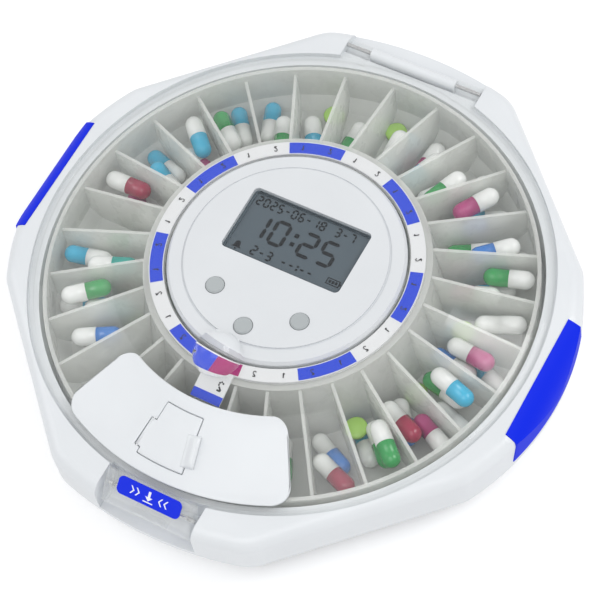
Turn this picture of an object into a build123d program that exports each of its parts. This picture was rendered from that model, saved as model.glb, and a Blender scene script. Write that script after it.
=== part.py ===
from build123d import *
import math
import os

# Automatic pill dispenser, in millimetres. +Z is up, the press latch faces -Y, the lid's hinge is at +Y.
# The origin is on the floor under the middle of the hub, and every round piece is round about Z there.

# ---------------------------------------------------------------- sizes: base
BASE_HALF_WIDTH = 110.0
BASE_HALF_DEPTH = 110.9
DIAGONAL_HALF = 103.0
SIDE_ARC_RADIUS = 99.0
FRONT_ARC_RADIUS = 144.0
SIDE_CORNER_RADIUS = 10.0
FRONT_CORNER_RADIUS = 17.0
FOOT_HEIGHT = 1.5
BELT_Z = 20.0
DECK_Z = 37.0
SHOULDER_RADIUS = 5.0
GRIP_SHOULDER_RADIUS = 13.0
GRIP_SHOULDER_Z = 25.0
BOTTOM_INSET = 9.0
BASE_WALL = 2.4
WELL_FLOOR_Z = 12.0
WELL_FLOOR_THICKNESS = 2.0
LEDGE_DROP = 2.2
SLIDE_RAIL_HEIGHT = 0.8
SLIDE_RAIL_WIDTH = 2.0

# ---------------------------------------------------------------- sizes: tray and ring
COMPARTMENTS = 29
START_ANGLE = -87.23
TRAY_RADIUS = 93.5
TRAY_WALL = 1.5
TRAY_FLOOR_GAP = 1.0
TRAY_SIDE_GAP = 1.7
TRAY_RIM_Z = 36.0
TRAY_BEVEL = 5.5
DIVIDER_THICKNESS = 1.2
DIVIDER_INNER_TOP_Z = 44.0
DIVIDER_OUTER_TOP_Z = 32.5
INNER_WALL_LEAN = 4.5
INNER_BAND = 2.5
RING_INNER_RADIUS = 46.0
RING_WIDTH = 5.5
RING_THICKNESS = 1.5
RING_LID_GAP = 0.4
TAB_LEFT = -5.5
TAB_RIGHT = 6.5
TAB_END_RADIUS = 63.0
TAB_THICKNESS = 0.6

# ---------------------------------------------------------------- sizes: gear drive
GEAR_MODULE = 1.5
TRAY_TEETH = 64
PINION_TEETH = 14
PRESSURE_ANGLE = 20.0
GEAR_BACKLASH = 0.30
GEAR_BOTTOM_Z = 30.0
GEAR_FACE = 6.0
GEAR_RIM = 1.5
SLEEVE_WALL = 1.1
PINION_SHAFT_RADIUS = 1.5
PINION_SHAFT_DEPTH = 6.0
PINION_SHAFT_RISE = 0.7
PINION_END_GAP = 0.5
GEARBOX_WIDTH = 18.0
GEARBOX_FRONT = 22.0
GEARBOX_CORNER = 1.5
MOTOR_RADIUS = 6.0
MOTOR_HEIGHT = 10.0
MOTOR_LENGTH = 20.0

# ---------------------------------------------------------------- sizes: hub
HUB_RADIUS = 44.8
HUB_TOP_Z = 47.8
HUB_COVER_THICKNESS = 2.0
HUB_RIM_HEIGHT = 3.8
HUB_DISC_RADIUS = 38.3
HUB_GROOVE_WIDTH = 0.8
HUB_GROOVE_DEPTH = 0.8
HUB_RING_DROP = 0.5
HUB_EDGE_WIDTH = 1.0
HUB_EDGE_HEIGHT = 1.2
HUB_SKIRT_WALL = 1.5
HUB_FIT = 0.1
TOWER_STEP = 0.2
TOWER_WALL = 2.4
WINDOW_LENGTH = 49.7
WINDOW_WIDTH = 28.1
WINDOW_Y = 7.9
WINDOW_CORNER = 2.0
WINDOW_THICKNESS = 1.6
LCD_THICKNESS = 2.6
LCD_BORDER = 1.2
LCD_DEPTH = 0.6
LCD_OVERLAP = 1.0
FRAME_BORDER = 3.2
BUTTON_RADIUS = 3.5
BUTTON_RISE = 0.7
BUTTON_TRAVEL = 0.8
BUTTON_EDGE = 0.5
BUTTON_FLANGE = 1.0
BUTTON_GAP = 0.2
BUTTON_PLACES = {"left": (-17.8, -22.0), "middle": (0.0, -32.4), "right": (17.8, -22.0)}
SWITCH_SIDE = 6.0
SWITCH_HEIGHT = 3.4
PLUNGER_RADIUS = 1.7
PLUNGER_FLOOR = 0.4
BOARD_THICKNESS = 1.6
BOARD_RADIUS = 38.5
BOARD_Z = 38.0
BOARD_POST_RADIUS = 3.0
BOARD_POST_CIRCLE = 33.5
BOARD_POST_ANGLES = (20.0, 160.0, 245.0, 295.0)
BUZZER_RADIUS = 6.0
BUZZER_HEIGHT = 4.5
BUZZER_PLACE = (-20.0, -8.0)
BUZZER_HOLE_RADIUS = 1.0
BUZZER_HOLE_DEPTH = 2.0

# ---------------------------------------------------------------- sizes: batteries
CELL_RADIUS = 7.25
CELL_LENGTH = 50.5
CELL_PITCH = 14.7
CELL_COUNT = 4
BATTERY_WALL = 1.6
BATTERY_END_SPACE = 0.8
BATTERY_SIDE_SPACE = 0.8
BATTERY_ROOF = 1.8
CELL_NUB_RADIUS = 2.7
CELL_NUB_LENGTH = 1.0
CELL_REST_GAP = 0.15
CELL_ROOF_GAP = 0.4
CONTACT_SIDE = 9.0
CONTACT_GAP = 0.2

# ---------------------------------------------------------------- sizes: lid
LID_RADIUS = 98.6
LID_GAP = 0.8
LID_TOP_Z = 48.0
LID_THICKNESS = 1.6
LID_CREASE_RADIUS = 65.5
LID_CONE_RADIUS = 94.5
LID_CONE_END_Z = 38.7
LID_RIM_Z = 37.9
LID_SEAT_GAP = 0.2
LID_BORDER_WIDTH = 2.3
LID_BORDER_DROP = 0.3
LID_EDGE = 0.6
PANEL_HALF_ANGLE = 29.5
PANEL_OUTER_RADIUS = 96.3
PANEL_CORNER = 6.5
PANEL_RECESS = 0.8
PANEL_RISE = 0.8
PANEL_INSET = 0.4
LENS_RADIUS = 9.2
LENS_PLACE = (-2.3, -46.8)

# ---------------------------------------------------------------- sizes: dispensing flap
FLAP_HINGE_ANGLE = -98.6
FLAP_END_ANGLE = -86.1
FLAP_INNER_RADIUS = 69.2
FLAP_OUTER_RADIUS = 91.8
FLAP_LEFT = 0.5
FLAP_BOTTOM = -0.5
FLAP_TOP = 1.0
FLAP_AXIS_RISE = 0.2
FLAP_BARREL_RADIUS = 0.9
FLAP_BARREL_START = 77.0
FLAP_BARREL_LENGTH = 14.0
FLAP_PIN_RADIUS = 0.4
FLAP_GAP = 0.25
FLAP_SWING_GAP = 0.5
FLAP_BORDER = 1.3
FLAP_HINGE_BORDER = 1.4
FLAP_FREE_BORDER = 0.8
FLAP_HOLE_CORNER = 1.0
FLAP_PIN_OVERHANG = 1.6
TAB_GRIP_HEIGHT = 2.2
TAB_GRIP_WIDTH = 6.0
TAB_GRIP_LENGTH = 13.0
TAB_GRIP_OVERHANG = 2.6

# ---------------------------------------------------------------- sizes: hinge and latch
HINGE_Y = 101.2
HINGE_Z = 36.0
HINGE_BARREL_RADIUS = 2.1
HINGE_KNUCKLE_RADIUS = 2.5
HINGE_PIN_RADIUS = 0.8
HINGE_MIDDLE = 18.4
HINGE_END = 29.5
HINGE_GAP = 0.4
HINGE_ARM_INSET = 0.4
REAR_NOTCH_Z = 32.8
POCKET_HALF_WIDTH = 20.0
POCKET_FLOOR_Z = 22.5
LATCH_HALF_WIDTH = 18.2
LATCH_WALL = 1.5
LATCH_PIVOT_Y = -102.5
LATCH_PIVOT_Z = 33.0
LATCH_PIN_RADIUS = 0.8
LATCH_PIN_INSET = 0.2
LATCH_OUTER_CORNERS = ((2.5, 7.1), (-3.2, 1.95), (-4.9, -1.8), (-6.1, -2.8), (-6.1, -4.0))
LATCH_INNER_CORNERS = ((-3.6, -4.0), (-3.4, -2.0), (-2.0, 1.0), (3.5, 6.0))
LATCH_CHEEK_CORNERS = ((-3.4, -5.0), (1.0, -4.0), (1.8, -1.0), (2.0, 2.0), (3.5, 6.0))
EAR_THICKNESS = 1.5
EAR_GAP = 0.3
EAR_FRONT_CORNERS = ((-0.8, 1.4), (-1.5, 0.4), (-1.5, -0.8), (-0.6, -1.6), (0.8, -1.6))
EAR_ROOT = 4.3
EAR_HEIGHT = 1.6
HOOK_HALF_WIDTH = 7.0
HOOK_ROOT_CORNERS = ((-3.4, -2.2), (-5.2, -3.6), (-4.6, -8.0))
HOOK_THICKNESS = 1.7
HOOK_THROAT = 2.6
HOOK_EASE = 0.4
HOOK_GAP = 0.15
CATCH_HALF_WIDTH = 9.0
CATCH_DROP = 6.4
CATCH_DEPTH = 2.1
CATCH_TIP = 0.8
CATCH_ROOT = 3.2
LABEL_LENGTH = 26.0
LABEL_WIDTH = 6.9
LABEL_CORNER = 2.0
LABEL_THICKNESS = 0.3

# ---------------------------------------------------------------- sizes: grips, feet, covers, fasteners
GRIP_HALF_LENGTH = 25.4
GRIP_FLARE = 2.8
GRIP_LOW_Z = 23.0
GRIP_THICKNESS = 1.6
GRIP_PROUD = 0.3
GRIP_FIT = 0.1
GRIP_INNER_X = 102.1
COVER_THICKNESS = 2.0
COVER_GAP = 0.3
FOOT_RADIUS = 8.0
FOOT_CIRCLE = 80.0
SCREW_CIRCLE = 80.0
SCREW_ANGLES = (0.0, 90.0, 180.0, 270.0)
SCREW_RADIUS = 1.4
SCREW_HEAD_RADIUS = 2.6
SCREW_HEAD_HEIGHT = 1.4
SCREW_LENGTH = 7.0
SCREW_SIDES = 8
SCREW_PLAY = 0.2
SCREW_TIP_GAP = 1.0
BOSS_RADIUS = 3.4
RIB_THICKNESS = 1.6
RIB_ANGLES = (22.5, 67.5, 112.5, 157.5, 202.5, 247.5, 292.5, 337.5)
RUNNING_GAP = 0.05
BODY_GAP = 0.3

# ---------------------------------------------------------------- places worked out from the sizes
BOTTOM_Z = FOOT_HEIGHT
COVER_TOP_Z = BOTTOM_Z + COVER_THICKNESS
LEDGE_Z = DECK_Z - LEDGE_DROP
LEDGE_UNDER_Z = LEDGE_Z - BASE_WALL
FLOOR_UNDER_Z = WELL_FLOOR_Z - WELL_FLOOR_THICKNESS
TRAY_BOTTOM_Z = WELL_FLOOR_Z + TRAY_FLOOR_GAP
TRAY_FLOOR_Z = TRAY_BOTTOM_Z + TRAY_WALL
WELL_RADIUS = TRAY_RADIUS + TRAY_SIDE_GAP
WELL_OUTER_RADIUS = WELL_RADIUS + BASE_WALL
RECESS_RADIUS = LID_RADIUS + LID_GAP
TOWER_RADIUS = HUB_RADIUS - TOWER_STEP
TOWER_BORE = TOWER_RADIUS - TOWER_WALL
TOWER_TOP_Z = HUB_TOP_Z - HUB_RIM_HEIGHT
HUB_UNDER_Z = HUB_TOP_Z - HUB_COVER_THICKNESS
LID_HOLE_RADIUS = HUB_RADIUS + LID_GAP
LID_UNDER_Z = LID_TOP_Z - LID_THICKNESS
LID_SLOPE = (LID_TOP_Z - LID_CONE_END_Z) / (LID_CONE_RADIUS - LID_CREASE_RADIUS)
LID_FOOT_Z = LEDGE_Z + LID_SEAT_GAP
ABOVE_LID_Z = LID_TOP_Z + LENS_RADIUS + 1
RING_TOP_Z = LID_UNDER_Z - RING_LID_GAP
RING_BOTTOM_Z = RING_TOP_Z - RING_THICKNESS
RING_OUTER_RADIUS = RING_INNER_RADIUS + RING_WIDTH
INNER_WALL_TOP_RADIUS = RING_OUTER_RADIUS + INNER_BAND
INNER_WALL_FOOT_RADIUS = INNER_WALL_TOP_RADIUS + INNER_WALL_LEAN
DIVIDER_SLOPE = (DIVIDER_INNER_TOP_Z - DIVIDER_OUTER_TOP_Z) / (TRAY_RADIUS - INNER_WALL_TOP_RADIUS)
SECTOR = 360.0 / COMPARTMENTS
BEVEL_SHRINK = 2.0 - math.sqrt(2.0)
GEAR_TOP_Z = GEAR_BOTTOM_Z + GEAR_FACE
TRAY_PITCH_RADIUS = GEAR_MODULE * TRAY_TEETH / 2
PINION_PITCH_RADIUS = GEAR_MODULE * PINION_TEETH / 2
PINION_Y = TRAY_PITCH_RADIUS - PINION_PITCH_RADIUS
PINION_TIP_RADIUS = PINION_PITCH_RADIUS + GEAR_MODULE
GEAR_RIM_RADIUS = TRAY_PITCH_RADIUS + 1.25 * GEAR_MODULE + GEAR_RIM
BOARD_TOP_Z = BOARD_Z + BOARD_THICKNESS
FRAME_TOP_Z = HUB_UNDER_Z
LCD_TOP_Z = FRAME_TOP_Z - LCD_DEPTH
BATTERY_HALF_X = CELL_PITCH * CELL_COUNT / 2 + BATTERY_SIDE_SPACE
BATTERY_HALF_Y = CELL_LENGTH / 2 + BATTERY_END_SPACE
CELL_Z = COVER_TOP_Z + CELL_RADIUS + CELL_REST_GAP
BATTERY_ROOF_Z = CELL_Z + CELL_RADIUS + CELL_ROOF_GAP
HUB_FLOOR_Z = BATTERY_ROOF_Z + BATTERY_ROOF
DOOR_TAB_X = BATTERY_HALF_X + BATTERY_WALL + BOSS_RADIUS / 2
FLAP_MIDDLE_RADIUS = (FLAP_INNER_RADIUS + FLAP_OUTER_RADIUS) / 2


# ---------------------------------------------------------------- shape helpers
def box(x0, x1, y0, y1, z0, z1):
    """Block between two corners."""
    middle = ((x0 + x1) / 2, (y0 + y1) / 2, (z0 + z1) / 2)
    return Pos(*middle) * Box(x1 - x0, y1 - y0, z1 - z0)


def rod(radius, z0, z1, x=0.0, y=0.0):
    """Upright cylinder."""
    return Pos(x, y, (z0 + z1) / 2) * Cylinder(radius, z1 - z0)


def small_rod(radius, z0, z1, x=0.0, y=0.0):
    """Upright eight-sided rod, for screws and what they go into."""
    face = Pos(x, y, z0) * RegularPolygon(radius, SCREW_SIDES, major_radius=False)
    return extrude(face, amount=z1 - z0)


def rod_x(radius, x0, x1, y, z):
    """Cylinder lying along X."""
    return Pos((x0 + x1) / 2, y, z) * Rot(0, 90, 0) * Cylinder(radius, x1 - x0)


def rod_y(radius, y0, y1, x, z):
    """Cylinder lying along Y."""
    return Pos(x, (y0 + y1) / 2, z) * Rot(90, 0, 0) * Cylinder(radius, y1 - y0)


def turned(points):
    """Body turned about Z from (radius, z) points."""
    outline = Polyline(*[(r, 0, z) for r, z in points], close=True)
    return revolve(make_face(outline), Axis.Z)


def across(points, x0, x1):
    """Body of one (y, z) profile running from x0 to x1."""
    outline = Polyline(*[(x0, y, z) for y, z in points], close=True)
    return extrude(make_face(outline), amount=x1 - x0, dir=(1, 0, 0))


def polar(radius, angle, z=0.0):
    """Point at a radius and an angle in degrees."""
    return (radius * math.cos(math.radians(angle)), radius * math.sin(math.radians(angle)), z)


def sector_plan(inner, outer, start, end, corner):
    """Flat piece of a ring with rounded corners, on the floor plane."""
    middle = (start + end) / 2
    outline = Curve() + [
        Line(polar(inner, start), polar(outer, start)),
        ThreePointArc(polar(outer, start), polar(outer, middle), polar(outer, end)),
        Line(polar(outer, end), polar(inner, end)),
        ThreePointArc(polar(inner, end), polar(inner, middle), polar(inner, start)),
    ]
    face = make_face(outline)
    return fillet(face.vertices(), corner) if corner else face


def sector_block(inner, outer, start, end, corner, z0, z1):
    """Upright block on a piece of a ring."""
    return extrude(Pos(0, 0, z0) * sector_plan(inner, outer, start, end, corner), amount=z1 - z0)


def cone_z(radius):
    """Height of the lid's sloping top."""
    return LID_TOP_Z - LID_SLOPE * (radius - LID_CREASE_RADIUS)


def cone_layer(low, high, inner, outer):
    """Layer that follows the lid's slope, between two heights above it."""
    points = [(inner, cone_z(inner) + low), (outer, cone_z(outer) + low)]
    points += [(outer, cone_z(outer) + high), (inner, cone_z(inner) + high)]
    return turned(points)


# ---------------------------------------------------------------- plan of the base
def crossing(centre_x, radius, diagonal):
    """Where a bulged side meets a diagonal side, measured along and across that side's own axis."""
    reach = diagonal * math.sqrt(2)
    b = centre_x + reach
    c = (centre_x**2 + reach**2 - radius**2) / 2
    along = (b + math.sqrt(b * b - 4 * c)) / 2
    return along, reach - along


def base_plan(offset, z):
    """Eight-sided outline with four bulged and four straight sides, moved outward by an offset."""
    diagonal = DIAGONAL_HALF + offset
    side_centre = BASE_HALF_WIDTH - SIDE_ARC_RADIUS
    front_centre = BASE_HALF_DEPTH - FRONT_ARC_RADIUS
    sx, sy = crossing(side_centre, SIDE_ARC_RADIUS + offset, diagonal)
    fy, fx = crossing(front_centre, FRONT_ARC_RADIUS + offset, diagonal)
    right = BASE_HALF_WIDTH + offset
    rear = BASE_HALF_DEPTH + offset
    outline = Curve() + [
        ThreePointArc((sx, -sy), (right, 0), (sx, sy)),
        Line((sx, sy), (fx, fy)),
        ThreePointArc((fx, fy), (0, rear), (-fx, fy)),
        Line((-fx, fy), (-sx, sy)),
        ThreePointArc((-sx, sy), (-right, 0), (-sx, -sy)),
        Line((-sx, -sy), (-fx, -fy)),
        ThreePointArc((-fx, -fy), (0, -rear), (fx, -fy)),
        Line((fx, -fy), (sx, -sy)),
    ]
    face = make_face(outline)
    side_corners = face.vertices().filter_by(lambda v: abs(v.X) > abs(v.Y))
    face = fillet(side_corners, max(SIDE_CORNER_RADIUS + offset, 1.0))
    front_corners = face.vertices().filter_by(lambda v: abs(abs(v.X) - fx) + abs(abs(v.Y) - fy) < 0.01)
    face = fillet(front_corners, max(FRONT_CORNER_RADIUS + offset, 1.0))
    return Pos(0, 0, z) * face


def skirt(offset, z_low):
    """Lower half of the base, drawn in towards the bottom."""
    inset = BOTTOM_INSET * (BELT_Z - z_low) / (BELT_Z - BOTTOM_Z)
    return loft([base_plan(offset - inset, z_low), base_plan(offset, BELT_Z)], ruled=True)


def side_profile(offset, z_low):
    """Long body whose section rounds the left and right shoulders, moved outward by an offset."""
    radius = GRIP_SHOULDER_RADIUS + offset
    centre_x = BASE_HALF_WIDTH - GRIP_SHOULDER_RADIUS
    top = DECK_Z + offset
    edge_x = centre_x + math.sqrt(radius**2 - (top - GRIP_SHOULDER_Z) ** 2)
    tilt = math.atan2(top - GRIP_SHOULDER_Z, edge_x - centre_x) / 2
    middle = (centre_x + radius * math.cos(tilt), 0, GRIP_SHOULDER_Z + radius * math.sin(tilt))
    end = (centre_x + radius, 0, GRIP_SHOULDER_Z)
    outline = Curve() + [
        Line((-edge_x, 0, top), (edge_x, 0, top)),
        ThreePointArc((edge_x, 0, top), middle, end),
        Line(end, (end[0], 0, z_low)),
        Line((end[0], 0, z_low), (-end[0], 0, z_low)),
        Line((-end[0], 0, z_low), (-end[0], 0, GRIP_SHOULDER_Z)),
        ThreePointArc((-end[0], 0, GRIP_SHOULDER_Z), (-middle[0], 0, middle[2]), (-edge_x, 0, top)),
    ]
    return extrude(make_face(outline), amount=BASE_HALF_DEPTH + BODY_GAP, both=True)


def side_layer(offset):
    """Solid below the grips' surface, moved outward by an offset."""
    plan = extrude(base_plan(offset, BELT_Z), amount=DECK_Z - BELT_Z + max(offset, 0))
    return plan & side_profile(offset, BELT_Z)


def grip_window(side, growth):
    """Block that bounds one grip, wider towards its lower end."""
    low = GRIP_LOW_Z - growth
    high = DECK_Z + 2
    half_high = GRIP_HALF_LENGTH + growth
    half_low = GRIP_HALF_LENGTH + GRIP_FLARE + growth
    x0 = GRIP_INNER_X - growth
    outline = Polyline(
        (x0, -half_low, low),
        (x0, half_low, low),
        (x0, half_high, high),
        (x0, -half_high, high),
        close=True,
    )
    block = extrude(make_face(outline), amount=2 * BASE_HALF_WIDTH - 2 * GRIP_INNER_X + 2, dir=(1, 0, 0))
    return block if side > 0 else Rot(0, 0, 180) * block


def make_grip(side):
    """Blue side grip, let into the shoulder."""
    shell = side_layer(GRIP_PROUD) - side_layer(-GRIP_THICKNESS)
    return shell & grip_window(side, 0.0)


# ---------------------------------------------------------------- base housing
def base_outside():
    """Outer form of the base, with rounded shoulders."""
    upper = extrude(base_plan(0.0, BELT_Z), amount=DECK_Z - BELT_Z)
    upper = fillet(upper.faces().sort_by(Axis.Z)[-1].edges(), SHOULDER_RADIUS)
    return (upper & side_profile(0.0, BELT_Z)) + skirt(0.0, BOTTOM_Z)


def base_cavity():
    """Hollow under the deck and round the well."""
    upper = extrude(base_plan(-BASE_WALL, BELT_Z), amount=LEDGE_UNDER_Z - BELT_Z)
    upper = chamfer(upper.faces().sort_by(Axis.Z)[-1].edges(), SHOULDER_RADIUS - 1)
    hollow = upper + skirt(-BASE_WALL, BOTTOM_Z)
    backing = GRIP_HALF_LENGTH + GRIP_FLARE + BASE_WALL
    wall_x = GRIP_INNER_X - BASE_WALL / 2
    for side in (-1, 1):
        x0, x1 = sorted((side * wall_x, side * BASE_HALF_WIDTH))
        hollow -= box(x0, x1, -backing, backing, GRIP_LOW_Z - BASE_WALL, DECK_Z)
    pocket_side = POCKET_HALF_WIDTH + BASE_WALL
    pocket_under = POCKET_FLOOR_Z - BASE_WALL
    hollow -= box(-pocket_side, pocket_side, -BASE_HALF_DEPTH, -HUB_RADIUS, pocket_under, DECK_Z)
    return hollow - rod(WELL_OUTER_RADIUS, FLOOR_UNDER_Z, DECK_Z)


def battery_box():
    """Walls of the battery compartment, with its roof."""
    outer_x = BATTERY_HALF_X + BATTERY_WALL
    outer_y = BATTERY_HALF_Y + BATTERY_WALL
    shell = box(-outer_x, outer_x, -outer_y, outer_y, COVER_TOP_Z, HUB_FLOOR_Z)
    half_x, half_y = BATTERY_HALF_X, BATTERY_HALF_Y
    return shell, box(-half_x, half_x, -half_y, half_y, COVER_TOP_Z, BATTERY_ROOF_Z)


def make_base_housing():
    """Moulded base: well for the tray, hub tower, battery box, latch pocket and rear hinge barrel."""
    base = base_outside() - base_cavity()
    base -= rod(RECESS_RADIUS, LEDGE_Z, DECK_Z + 1)
    base -= rod(WELL_RADIUS, WELL_FLOOR_Z, DECK_Z + 1)
    rail_outer = TRAY_RADIUS - TRAY_BEVEL - SLIDE_RAIL_WIDTH
    rail_top = WELL_FLOOR_Z + SLIDE_RAIL_HEIGHT
    rail = rod(rail_outer, WELL_FLOOR_Z, rail_top)
    base += rail - rod(rail_outer - SLIDE_RAIL_WIDTH, WELL_FLOOR_Z, rail_top)
    base += rod(TOWER_RADIUS, FLOOR_UNDER_Z, TOWER_TOP_Z)
    base -= rod(TOWER_BORE, FLOOR_UNDER_Z, TOWER_TOP_Z)
    base += rod(TOWER_BORE, BATTERY_ROOF_Z, HUB_FLOOR_Z)
    shell, cavity = battery_box()
    base += shell
    base -= cavity
    base += small_rod(BOSS_RADIUS, COVER_TOP_Z, BATTERY_ROOF_Z, DOOR_TAB_X)
    base -= small_rod(SCREW_RADIUS, COVER_TOP_Z, COVER_TOP_Z + SCREW_LENGTH, DOOR_TAB_X)
    base += board_posts()
    base += base_ribs()
    for angle in SCREW_ANGLES:
        x, y, _ = polar(SCREW_CIRCLE, angle)
        base += small_rod(BOSS_RADIUS, COVER_TOP_Z, FLOOR_UNDER_Z, x, y)
        base -= small_rod(SCREW_RADIUS, COVER_TOP_Z, FLOOR_UNDER_Z, x, y)
    slot = PINION_TIP_RADIUS + BODY_GAP
    slot_low = GEAR_BOTTOM_Z - PINION_END_GAP
    slot_high = GEAR_TOP_Z + PINION_END_GAP
    base -= box(-slot, slot, PINION_Y, HUB_RADIUS + 1, slot_low, slot_high)
    base = cut_rear_notch(base)
    base = cut_latch_pocket(base)
    grip_bed = side_layer(GRIP_PROUD + 1) - side_layer(-GRIP_THICKNESS)
    for side in (-1, 1):
        base -= grip_bed & grip_window(side, GRIP_FIT)
    return base


def board_posts():
    """Four posts that carry the circuit board."""
    posts = []
    for angle in BOARD_POST_ANGLES:
        x, y, _ = polar(BOARD_POST_CIRCLE, angle)
        post = small_rod(BOARD_POST_RADIUS, HUB_FLOOR_Z, BOARD_Z, x, y)
        posts.append(post - small_rod(SCREW_RADIUS, BOARD_Z - SCREW_LENGTH, BOARD_Z, x, y))
    return posts


def base_ribs():
    """Ribs under the well floor."""
    inner = TOWER_RADIUS - 1
    outer = WELL_RADIUS - 3
    rib = box(inner, outer, -RIB_THICKNESS / 2, RIB_THICKNESS / 2, COVER_TOP_Z + 1, FLOOR_UNDER_Z)
    return [Rot(0, 0, angle) * rib for angle in RIB_ANGLES]


def cut_rear_notch(base):
    """Opens the rear wall for the hinge and adds the middle barrel."""
    front = HINGE_Y - HINGE_KNUCKLE_RADIUS - HINGE_GAP
    base -= box(-HINGE_END, HINGE_END, front, BASE_HALF_DEPTH + 1, REAR_NOTCH_Z, DECK_Z + 1)
    base -= box(-HINGE_END, HINGE_END, WELL_RADIUS - 3, front + 1, LEDGE_Z, DECK_Z + 1)
    web_front = HINGE_Y - HINGE_BARREL_RADIUS
    web_rear = HINGE_Y + HINGE_BARREL_RADIUS
    web = box(-HINGE_MIDDLE, HINGE_MIDDLE, web_front, web_rear, REAR_NOTCH_Z - 1, HINGE_Z)
    barrel = rod_x(HINGE_BARREL_RADIUS, -HINGE_MIDDLE, HINGE_MIDDLE, HINGE_Y, HINGE_Z)
    base += web + barrel
    return base - rod_x(HINGE_PIN_RADIUS, -HINGE_END, HINGE_END, HINGE_Y, HINGE_Z)


def cut_latch_pocket(base):
    """Opens the front wall for the press latch and adds the catch ledge."""
    pocket = box(
        -POCKET_HALF_WIDTH,
        POCKET_HALF_WIDTH,
        -BASE_HALF_DEPTH - 1,
        -WELL_RADIUS + 5,
        POCKET_FLOOR_Z,
        DECK_Z + 1,
    )
    pocket -= rod(WELL_OUTER_RADIUS, POCKET_FLOOR_Z, LEDGE_Z)
    base -= pocket
    tip = -catch_reach()
    root = -WELL_OUTER_RADIUS + BASE_WALL / 2
    ledge_points = [
        (root, catch_z()),
        (tip, catch_z()),
        (tip, catch_z() + CATCH_TIP),
        (root, catch_z() + CATCH_ROOT),
    ]
    return base + across(ledge_points, -CATCH_HALF_WIDTH, CATCH_HALF_WIDTH)


def catch_reach():
    """How far out the catch ledge comes."""
    return WELL_OUTER_RADIUS + CATCH_DEPTH


def catch_z():
    """Underside of the catch ledge."""
    return LATCH_PIVOT_Z - CATCH_DROP


# ---------------------------------------------------------------- covers under the base
def make_bottom_cover():
    """Plate that closes the base from below."""
    inset = BASE_WALL + BOTTOM_INSET + COVER_GAP
    cover = extrude(base_plan(-inset, BOTTOM_Z), amount=COVER_THICKNESS)
    cover -= battery_door_block(COVER_GAP, COVER_TOP_Z)
    for angle in SCREW_ANGLES:
        x, y, _ = polar(SCREW_CIRCLE, angle)
        cover -= small_rod(SCREW_RADIUS + SCREW_PLAY, BOTTOM_Z, COVER_TOP_Z, x, y)
        cover -= small_rod(SCREW_HEAD_RADIUS + SCREW_PLAY, BOTTOM_Z, BOTTOM_Z + SCREW_HEAD_HEIGHT, x, y)
    return cover


def foot_places():
    """Middles of the four feet, on the diagonals."""
    step = FOOT_CIRCLE / math.sqrt(2)
    return [(sx * step, sy * step) for sx in (-1, 1) for sy in (-1, 1)]


def make_rubber_feet():
    """Four feet, stuck under the bottom cover."""
    return [rod(FOOT_RADIUS, 0.0, BOTTOM_Z, x, y) for x, y in foot_places()]


def battery_door_block(growth, top):
    """Outline of the battery door with its screw tab."""
    half_x = BATTERY_HALF_X + growth
    half_y = BATTERY_HALF_Y + growth
    tab_end = DOOR_TAB_X + BOSS_RADIUS + growth
    tab_half = BOSS_RADIUS + 2 + growth
    block = box(-half_x, half_x, -half_y, half_y, BOTTOM_Z, top)
    return block + box(0, tab_end, -tab_half, tab_half, BOTTOM_Z, top)


def make_battery_door():
    """Cover of the battery compartment, held by one screw."""
    door = battery_door_block(0.0, COVER_TOP_Z - 0.1)
    door -= small_rod(SCREW_RADIUS + SCREW_PLAY, BOTTOM_Z, COVER_TOP_Z, DOOR_TAB_X)
    recess = SCREW_HEAD_RADIUS + SCREW_PLAY
    return door - small_rod(recess, BOTTOM_Z, BOTTOM_Z + SCREW_HEAD_HEIGHT, DOOR_TAB_X)


def screw(x, y, head_z, up):
    """Pan-head screw with its head at a height, pointing up or down."""
    head = sorted((head_z, head_z - up * SCREW_HEAD_HEIGHT))
    shank = sorted((head_z, head_z + up * (SCREW_LENGTH - SCREW_TIP_GAP)))
    return small_rod(SCREW_HEAD_RADIUS, *head, x, y) + small_rod(SCREW_RADIUS, *shank, x, y)


def make_base_screws():
    """Screws through the bottom cover."""
    head_z = BOTTOM_Z + SCREW_HEAD_HEIGHT
    places = [polar(SCREW_CIRCLE, angle) for angle in SCREW_ANGLES]
    return [screw(x, y, head_z, 1) for x, y, _ in places]


def make_battery_screw():
    """Screw of the battery door."""
    return screw(DOOR_TAB_X, 0.0, BOTTOM_Z + SCREW_HEAD_HEIGHT, 1)


def make_board_screws():
    """Four screws that hold the circuit board down."""
    places = [polar(BOARD_POST_CIRCLE, angle) for angle in BOARD_POST_ANGLES]
    return [screw(x, y, BOARD_TOP_Z, -1) for x, y, _ in places]


def cell_places():
    """X of each cell, with the end its button points to."""
    first = -CELL_PITCH * (CELL_COUNT - 1) / 2
    return [(first + CELL_PITCH * i, 1 if i % 2 == 0 else -1) for i in range(CELL_COUNT)]


def make_batteries():
    """Four round cells lying side by side, ends alternating."""
    cells = []
    for x, end in cell_places():
        shoulder = end * (CELL_LENGTH / 2 - CELL_NUB_LENGTH)
        can = sorted((-end * CELL_LENGTH / 2, shoulder))
        nub = sorted((shoulder, end * CELL_LENGTH / 2))
        half = CELL_NUB_RADIUS
        button = box(x - half, x + half, *nub, CELL_Z - half, CELL_Z + half)
        cells.append(rod_y(CELL_RADIUS, *can, x, CELL_Z) + button)
    return cells


def make_battery_contacts():
    """Contact plates at both ends of every cell."""
    plates = []
    half = CONTACT_SIDE / 2
    for x, _ in cell_places():
        for side in (-1, 1):
            y0, y1 = sorted((side * (CELL_LENGTH / 2 + CONTACT_GAP), side * BATTERY_HALF_Y))
            plates.append(box(x - half, x + half, y0, y1, CELL_Z - half, CELL_Z + half))
    return plates


# ---------------------------------------------------------------- pill tray with its gear
def involute(angle):
    """Involute function of an angle in radians."""
    return math.tan(angle) - angle


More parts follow.
